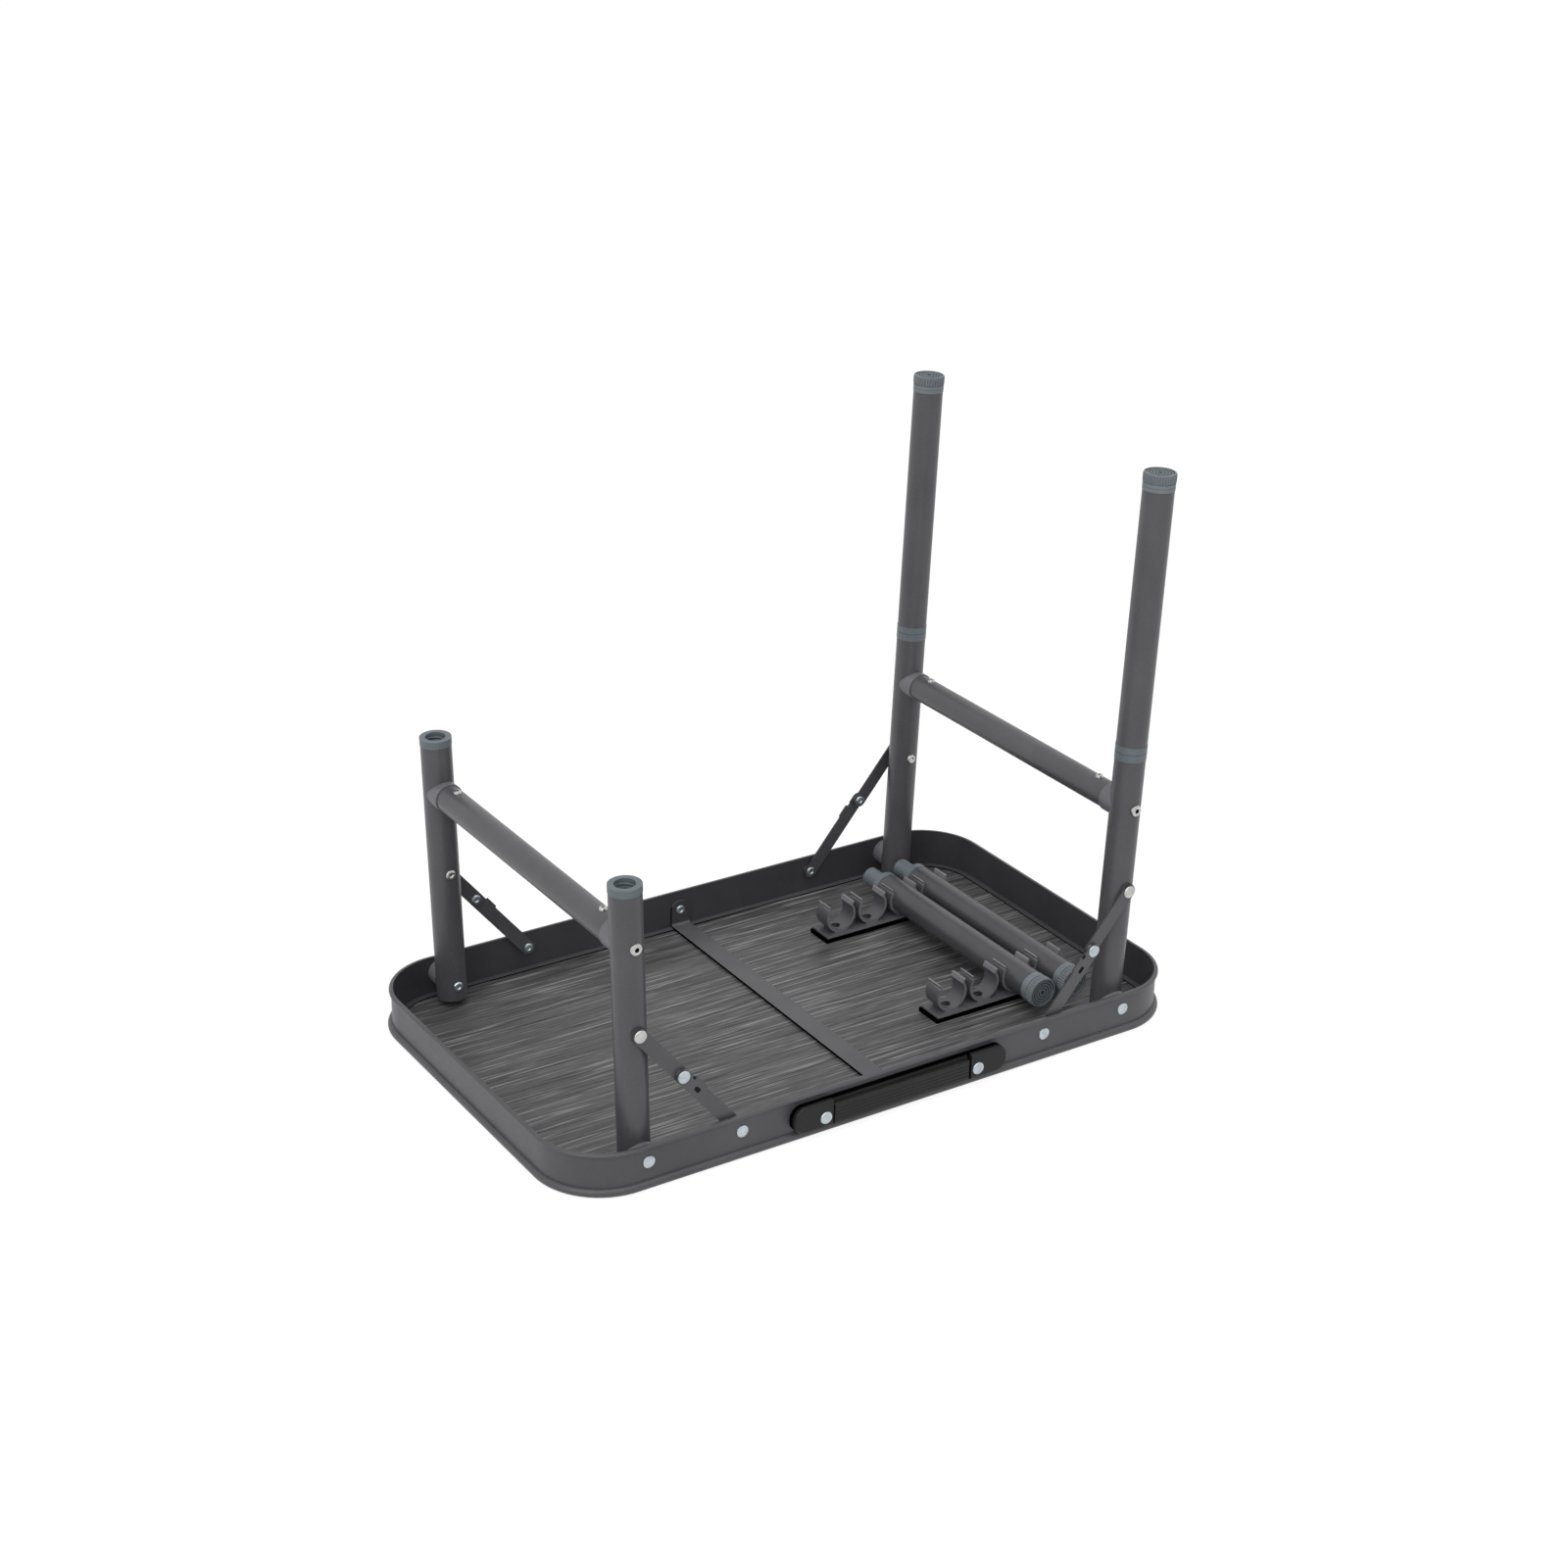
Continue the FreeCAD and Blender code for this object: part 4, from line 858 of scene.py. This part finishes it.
@dataclass
class LegFrame:
    """Two legs with the cross tube, saddles, sockets, spacer bushes and fasteners between them."""

    end: End
    joint_plane: float = 246.8 * MM
    bore_radius: float = 9.0 * MM
    bore_depth: float = 28.0 * MM
    bore_gap: float = 0.02 * MM
    bare_mouth: float = 1.5 * MM
    washer_radius: float = 7.4
    washer_face: float = 183.2

    @property
    def tag(self) -> str:
        """Start of this frame's node names."""
        return self.end.name.lower()

    def build_fasteners(self) -> None:
        """Builds the stay rivets with their washers, and the screws beside and on top of the cross tube."""
        steel: list[Surface] = []
        sockets: list[Surface] = []
        spacers: list[Surface] = []
        stay, cross = leg_point(self.end, STAY_REACH), leg_point(self.end, CROSS_REACH)
        for row in Row:
            steel.append(STAY_LEG_RIVET.surface(row, *stay))
            spacers.append(washer(STAY_LEG_RIVET.shank, self.washer_radius, LEG_OUTER, self.washer_face,
                                  through_rim(row, *stay)))
            on_top = Matrix.Translation((cross[0] * MM, row.value * TOP_SCREW_ROW * MM, cross[1] * MM))
            for screw, place, seat in (
                    (CROSS_SCREW, through_rim(row, *cross), LEG_OUTER), (TOP_SCREW, on_top, CROSS_RADIUS)):
                bright, dark = screw.surfaces(place, seat)
                steel.append(bright)
                sockets.append(dark)
        body = f"{self.tag}_frame"
        plated = len(join(steel)[1])
        points, faces = join(steel + sockets)
        fasteners = make_piece(f"{self.tag}_fasteners_plated", points, faces, STAINLESS, body,
                               "fastener_steel")
        # Painted shade in the hex sockets.
        second_finish(fasteners.data, DARK_STEEL_AND_PAINTED_SHADE, lambda face: face.index >= plated)
        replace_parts(fasteners, f"{self.tag}_frame_fasteners")
        make_piece(f"{self.tag}_stay_washers", *join(spacers), WASHER_NYLON, body, "fitting_plastic")

    def build(self) -> None:
        """Builds the fasteners, and socket threads where no extension covers them."""
        self.build_fasteners()
        if self.end is End.RIGHT:
            return
        for row in Row:
            start = leg_place(self.end, row, self.joint_plane - self.bore_depth)
            thread = ScrewThread(self.bore_radius - self.bore_gap, self.bore_depth - self.bare_mouth,
                                 kind=Thread.FEMALE)
            thread.build(f"{self.tag}_socket_thread_{row.name.lower()}", start, f"{self.tag}_frame")

    def dress(self) -> None:
        """Coats the tubes and gives the plastic pieces their finishes."""
        dress(TUBE_COAT, f"{self.tag}_leg_front", f"{self.tag}_leg_back", f"{self.tag}_cross_tube")
        dress(COLLAR_PLASTIC, f"{self.tag}_socket_front", f"{self.tag}_socket_back")
        dress(FITTING_PLASTIC, f"{self.tag}_saddles", f"{self.tag}_leg_spacers", f"{self.tag}_leg_plugs")


@dataclass
class FoldingStay:
    """A stay of two flat links with a rivet between them."""

    end: End
    row: Row
    middle_x: float = 214.3
    middle_z: float = 92.5
    slope: float = math.radians(50.58)
    slot_reach: float = 20.5
    slot_half: float = 1.5
    slot_radius: float = 2.1
    slot_steps: int = 32
    collar_bore: float = 0.5
    outer_collar: Pair = (185.8, 186.6)
    inner_collar: Pair = (184.9, 185.7)
    stop_span: Pair = (186.62, 187.0)
    pit_span: Pair = (187.0, 187.15)
    notch: Section = ((-7.3, 6.7), (-8.0, 4.5), (-11.0, 4.5), (-11.7, 6.7))

    @property
    def tags(self) -> tuple[str, str]:
        """The end's and the side's part of this stay's node names."""
        return self.end.name.lower(), self.row.name.lower()

    def build(self) -> None:
        """Builds the link's stop, and the two halves of the middle rivet, one on each link."""
        self.build_stop()
        end, row = self.tags
        place = through_rim(self.row, self.end.value * self.middle_x, self.middle_z)
        for half, link, shape, collar in (
                ("outer", "lower", LOWER_HALF, self.outer_collar),
                ("inner", "upper", UPPER_HALF, self.inner_collar)):
            surfaces = [turn_profile(shape.profile(), place),
                        washer(self.collar_bore, shape.head_radius, *collar, place)]
            rivet = make_piece(f"{end}_stay_rivet_{half}_{row}", *join(surfaces), ZINC,
                               f"{end}_{link}_link_{row}", "fastener_steel")
            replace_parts(rivet, f"{end}_mid_rivet_{half}_{row}")

    def build_stop(self) -> None:
        """Closes the lower link's detent hole and edge notch from the inside; a dark plate in each is
        painted shade, so that they show as dark pits.
        """
        end, row = self.tags
        along = Vector((self.end.value * math.cos(self.slope), 0.0, math.sin(self.slope)))
        across = Vector((-self.end.value * math.sin(self.slope), 0.0, math.cos(self.slope)))
        outward = Vector((0.0, float(self.row.value), 0.0))
        place = Matrix((along, across, outward)).transposed().to_4x4()
        place.translation = (self.end.value * self.middle_x * MM, 0.0, self.middle_z * MM)
        slot = []
        for step in range(self.slot_steps):
            turn = 2 * math.pi * (step + 0.5) / self.slot_steps
            shift = math.copysign(self.slot_half, math.cos(turn)) - self.slot_reach
            slot.append((shift + self.slot_radius * math.cos(turn), self.slot_radius * math.sin(turn)))
        shapes = [slot, list(self.notch)]
        body = f"{end}_lower_link_{row}"
        # The pit plates are painted shade.
        for label, finish, span in (
                ("stop", STAY_PAINT, self.stop_span), ("pit", DARK_STEEL_AND_PAINTED_SHADE, self.pit_span)):
            surfaces = [plate(shape, *span, place) for shape in shapes]
            make_piece(f"{end}_stay_{label}_{row}", *join(surfaces), finish, body, "stay_paint")

    def dress(self) -> None:
        """Paints both links."""
        end, row = self.tags
        for link in (f"{end}_stay_lower_{row}", f"{end}_stay_upper_{row}"):
            dress(STAY_PAINT, link)
            # Painted shade on the links' thin edges.
            second_finish(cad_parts[link].data, STAY_EDGE_PAINTED_SHADE, lambda face: abs(face.normal.y) < ACROSS)


@dataclass
class HandleStrap:
    """Grip of the carrying handle: a ribbed rubber strap in front of a flat tongue, rounded at its ends."""

    half_length: float = 71.3
    tongue_back: float = 194.6
    tongue_face: float = 196.4
    face: float = 201.0
    low: float = 8.8
    high: float = 28.4
    tongue_high: float = 31.4
    edge: float = 1.6
    groove: float = 0.55
    grooves: int = 4
    end_round: float = 1.5
    edge_steps: int = 4
    end_shares: tuple[float, ...] = (0.0, 0.25, 0.6, 1.0)
    smooth_below: float = 25.0

    def section(self) -> Profile:
        """Its section as distance from the table's middle plane and height, in millimetres."""
        steps = [math.pi / 2 * step / self.edge_steps for step in range(self.edge_steps + 1)]
        under = [(self.face - self.edge * (1 - math.sin(turn)), self.low + self.edge * (1 - math.cos(turn)))
                 for turn in steps]
        over = [(self.face - self.edge * (1 - math.cos(turn)), self.high - self.edge * (1 - math.sin(turn)))
                for turn in steps]
        ribs = []
        pitch = (self.high - self.low - 2 * self.edge) / (self.grooves + 1)
        for number in range(1, self.grooves + 1):
            height = self.low + self.edge + pitch * number
            ribs += [(self.face, height - self.groove), (self.face - self.groove, height),
                     (self.face, height + self.groove)]
        return [(self.tongue_back, self.low), *under, *ribs, *over, (self.tongue_face, self.high),
                (self.tongue_face, self.tongue_high), (self.tongue_back, self.tongue_high)]

    def build(self) -> None:
        """Builds the strap, with its face rounded back towards both ends."""
        section = self.section()
        places = []
        for share in self.end_shares:
            drop = self.end_round * (1 - math.sqrt(1 - (1 - share) ** 2))
            places.append((-self.half_length + self.end_round * share, drop))
        places += [(-across, drop) for across, drop in reversed(places)]
        points = []
        for across, drop in places:
            most = max(self.tongue_face, self.face - drop)
            points += [Vector((across, -min(reach, most), height)) * MM for reach, height in section]
        count = len(section)
        rings = [list(range(start, start + count)) for start in range(0, len(points), count)]
        faces = [tuple(rings[0]), tuple(reversed(rings[-1]))]
        faces += [face[::-1] for face in stitch(rings)]
        strap = make_piece("handle_grip_strap", points, faces, STRAP_RUBBER, "tabletop", "strap_rubber",
                           self.smooth_below)
        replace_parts(strap, "handle_strap")


@dataclass
class TableTop:
    """Board, rim, strip across the middle, clips, handle and their rivets."""

    stay: Pair = (159.5, 25.8)
    strip: Pair = (8.5, 21.4)
    handle: Pair = (80.4, 18.3)
    ledge_top: float = 4.1 * MM
    lip_height: float = 35.0 * MM
    clip_first: float = 131.0
    clip_pitch: float = 37.0
    clip_count: int = 4
    clip_rows: Pair = (-83.0, 99.0)
    clip_radius: float = 14.15
    stay_washer_low: float = 188.3
    dish_radii: Pair = (2.9, 4.4)
    dish_span: Pair = (-0.3, 0.06)
    dish_steps: int = 36

    @staticmethod
    def inside_rim(face: MeshFace) -> bool:
        """Whether a face of the rim looks inward over the board."""
        inward = face.normal.x * face.center.x + face.normal.y * face.center.y < 0
        return inward and abs(face.normal.z) < ACROSS

    def build(self) -> None:
        """Builds the rivets that stay with the rim."""
        pivots: list[Surface] = []
        stays: list[Surface] = []
        plain: list[Surface] = []
        for row in Row:
            for end in End:
                across, height = end.value * self.stay[0], self.stay[1]
                pivots.append(PIVOT_RIVET.surface(row, end.value * PIVOT_X, PIVOT_Z))
                stays.append(STAY_RIM_RIVET.surface(row, across, height))
                stays.append(washer(STAY_RIM_RIVET.shank, STAY_RIM_RIVET.head_radius, self.stay_washer_low,
                                    RIM_INNER, through_rim(row, across, height)))
            plain.append(STRIP_RIVET.surface(row, *self.strip))
        for end in End:
            plain.append(HANDLE_RIVET.surface(Row.FRONT, end.value * self.handle[0], self.handle[1]))
        for name, node, surfaces in (
                ("pivot_rivets_plated", "pivot_rivets", pivots),
                ("stay_rivets_plated", "stay_rim_rivets", stays),
                ("strip_and_handle_rivets", "rim_rivets", plain)):
            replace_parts(make_piece(name, *join(surfaces), ZINC, "tabletop", "fastener_steel"), node)
        self.build_screw_shade_rings()

    def build_screw_shade_rings(self) -> None:
        """Builds a dark dished ring round every clip screw, bent to the clip's round floor, as painted shade
        in the sink round the screw.
        """
        (inner, outer), (low, high) = self.dish_radii, self.dish_span
        section = [(inner, low), (outer, low), (outer, high), (inner, high), (inner, low)]
        flat, faces = turn_profile(section, Matrix.Identity(4), self.dish_steps)
        shade_rings: list[Surface] = []
        for number in range(self.clip_count):
            across = self.clip_first + self.clip_pitch * number
            for row in self.clip_rows:
                bent = []
                for point in flat:
                    spot = point / MM
                    floor = CLIP_AXIS - math.sqrt(self.clip_radius ** 2 - spot.x ** 2)
                    bent.append(Vector((across + spot.x, row + spot.y, floor + spot.z)) * MM)
                shade_rings.append((bent, faces))
        make_piece("clip_screw_washers", *join(shade_rings), DARK_STEEL_AND_PAINTED_SHADE, "tabletop", "fastener_steel")

    def dress(self) -> None:
        """Gives each of them its finish."""
        dress(GRAIN_BOARD, "table_panel")
        dress(RIM_COAT, "rim_profile")
        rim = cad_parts["rim_profile"].data
        # Painted shade on the rim's inward faces.
        second_finish(rim, RIM_PAINTED_SHADE, self.inside_rim)
        # Painted shade along the foot of the rim's inside, where it meets the board.
        second_finish(rim, FOAM_AND_PAINTED_SHADE, lambda face: self.inside_rim(face) and face.center.z < self.ledge_top)
        dress(STRIP_COAT, "centre_strip")
        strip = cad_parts["centre_strip"].data
        # Painted shade on the strip's bent-up ends.
        second_finish(strip, RIM_PAINTED_SHADE, lambda face: abs(face.normal.y) > FACING)
        # Painted shade on the strip's left edge.
        second_finish(strip, FOAM_AND_PAINTED_SHADE, lambda face: face.normal.x < -FACING)
        for rail in ("clip_rail_front", "clip_rail_back"):
            dress(CLIP_PLASTIC, rail)
            # Painted highlight on the rails' front and back faces and on the clips' lips.
            second_finish(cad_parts[rail].data, CLIP_EDGE_PAINTED_HIGHLIGHT,
                          lambda face: abs(face.normal.y) > FACING or face.center.z > self.lip_height)
        dress(FOAM_AND_PAINTED_SHADE, "clip_pads")
        dress(HANDLE_PLASTIC, "handle_end_left", "handle_end_right")
        # The handle's backing is black; this near-black is deeper than its plastic, as painted shade in the
        # band above the strap.
        dress(FOAM_AND_PAINTED_SHADE, "handle_backing")
        dress(DARK_STEEL_AND_PAINTED_SHADE, "clip_screws")


@dataclass
class Studio:
    """Pale floor, soft light from above and from the left, and the camera."""

    eye: Point = (-1.21374, -1.83929, 1.23989)
    right: Point = (0.83932, -0.54324, 0.02072)
    down: Point = (-0.21011, -0.35931, -0.90926)
    lens: float = 62.58
    sensor: float = 36.0
    floor_half: float = 12.0
    floor_drop: float = 0.6 * MM
    floor_white: float = 1.25
    floor_share: float = 0.7
    room_soft: float = 0.36
    suns: tuple[tuple[str, Point, float, float], ...] = (
        ("top_light", (0.1, 0.35, -1.0), 55.0, 1.0), ("left_light", (0.9, 0.5, -0.75), 45.0, 0.78))

    def build_camera(self) -> None:
        """Stands the camera at the photograph's angle, on a 36 mm square frame."""
        data = bpy.data.cameras.new("studio_camera")
        data.sensor_width = self.sensor
        data.lens = self.lens
        camera = bpy.data.objects.new("studio_camera", data)
        bpy.context.scene.collection.objects.link(camera)
        across = Vector(self.right).normalized()
        back = across.cross(-Vector(self.down)).normalized()
        up = back.cross(across)
        turn = Matrix((across, up, back)).transposed().to_4x4()
        camera.matrix_world = Matrix.Translation(self.eye) @ turn
        bpy.context.scene.camera = camera

    def background_share(self, tree: Tree, most: float) -> Socket:
        """How much of a surface shows as plain white background.

        Args:
            tree: the nodes of the floor or the world.
            most: the share for rays from the camera, and from gloss and glass.

        Returns:
            A socket with that share, or 0 for rays that carry soft light.
        """
        path = add_node(tree, "ShaderNodeLightPath").outputs
        seen = path["Is Camera Ray"]
        for ray in ("Is Glossy Ray", "Is Transmission Ray"):
            seen = add_node(tree, "ShaderNodeMath", {0: seen, 1: path[ray]}, operation="MAXIMUM").outputs[0]
        return add_node(tree, "ShaderNodeMath", {0: seen, 1: most}, operation="MULTIPLY").outputs[0]

    def build_floor(self) -> None:
        """Lays a wide white floor just under the table top."""
        half, height = self.floor_half, -self.floor_drop
        mesh = bpy.data.meshes.new("studio_floor")
        mesh.from_pydata([(-half, -half, height), (half, -half, height), (half, half, height),
                          (-half, half, height)], [], [(0, 1, 2, 3)])
        floor = bpy.data.objects.new("studio_floor", mesh)
        bpy.context.scene.collection.objects.link(floor)
        sweep = bpy.data.materials.new("white_paper_sweep")
        sweep.use_nodes = True
        tree = sweep.node_tree
        tree.nodes.clear()
        paper = add_node(tree, "ShaderNodeBsdfDiffuse", {"Color": linear("#dcdcdc")})
        glow = add_node(tree, "ShaderNodeEmission", {"Color": WHITE, "Strength": self.floor_white})
        mix = add_node(tree, "ShaderNodeMixShader", {
            0: self.background_share(tree, self.floor_share), 1: paper.outputs[0], 2: glow.outputs[0]})
        add_node(tree, "ShaderNodeOutputMaterial", {"Surface": mix.outputs[0]})
        mesh.materials.append(sweep)

    def build_lights(self) -> None:
        """Sets a soft room, wide light from above and a softer light from the left."""
        world = bpy.data.worlds.new("studio_room")
        bpy.context.scene.world = world
        world.use_nodes = True
        tree = world.node_tree
        tree.nodes.clear()
        soft = add_node(tree, "ShaderNodeBackground", {"Color": WHITE, "Strength": self.room_soft})
        white = add_node(tree, "ShaderNodeBackground", {"Color": WHITE, "Strength": 1.0})
        mix = add_node(tree, "ShaderNodeMixShader", {
            0: self.background_share(tree, 1.0), 1: soft.outputs[0], 2: white.outputs[0]})
        add_node(tree, "ShaderNodeOutputWorld", {"Surface": mix.outputs[0]})
        for name, toward, spread, power in self.suns:
            lamp = bpy.data.lights.new(name, "SUN")
            lamp.angle = math.radians(spread)
            lamp.energy = power
            light = bpy.data.objects.new(name, lamp)
            light.rotation_euler = Vector(toward).to_track_quat("-Z", "Y").to_euler()
            bpy.context.scene.collection.objects.link(light)

    def build(self) -> None:
        """Sets up camera, floor and lights."""
        bpy.context.scene.view_settings.view_transform = "Standard"
        self.build_camera()
        self.build_floor()
        self.build_lights()


def main() -> None:
    """Builds and dresses the table."""
    logging.basicConfig(level=logging.INFO, format="%(name)s: %(message)s")
    Studio().build()
    HandleStrap().build()
    parts: list[TableTop | LegFrame | FoldingStay | LegExtension] = [TableTop()]
    for end in End:
        parts.append(LegFrame(end))
        parts += [FoldingStay(end, row) for row in Row]
    for row in Row:
        name = f"extension_{row.name.lower()}"
        parts.append(FittedExtension(name, name, leg_place(End.RIGHT, row, FITTED_BASE * MM)))
    lying = Matrix.Rotation(math.pi / 2, 4, "X")
    for label, across in STORED_X.items():
        place = Matrix.Translation((across * MM, STORED_Y * MM, CLIP_AXIS * MM))
        parts.append(StoredExtension(f"stored_{label}", "tabletop", place @ lying))
    for part in parts:
        part.build()
        part.dress()


if __name__ == "__main__":
    main()
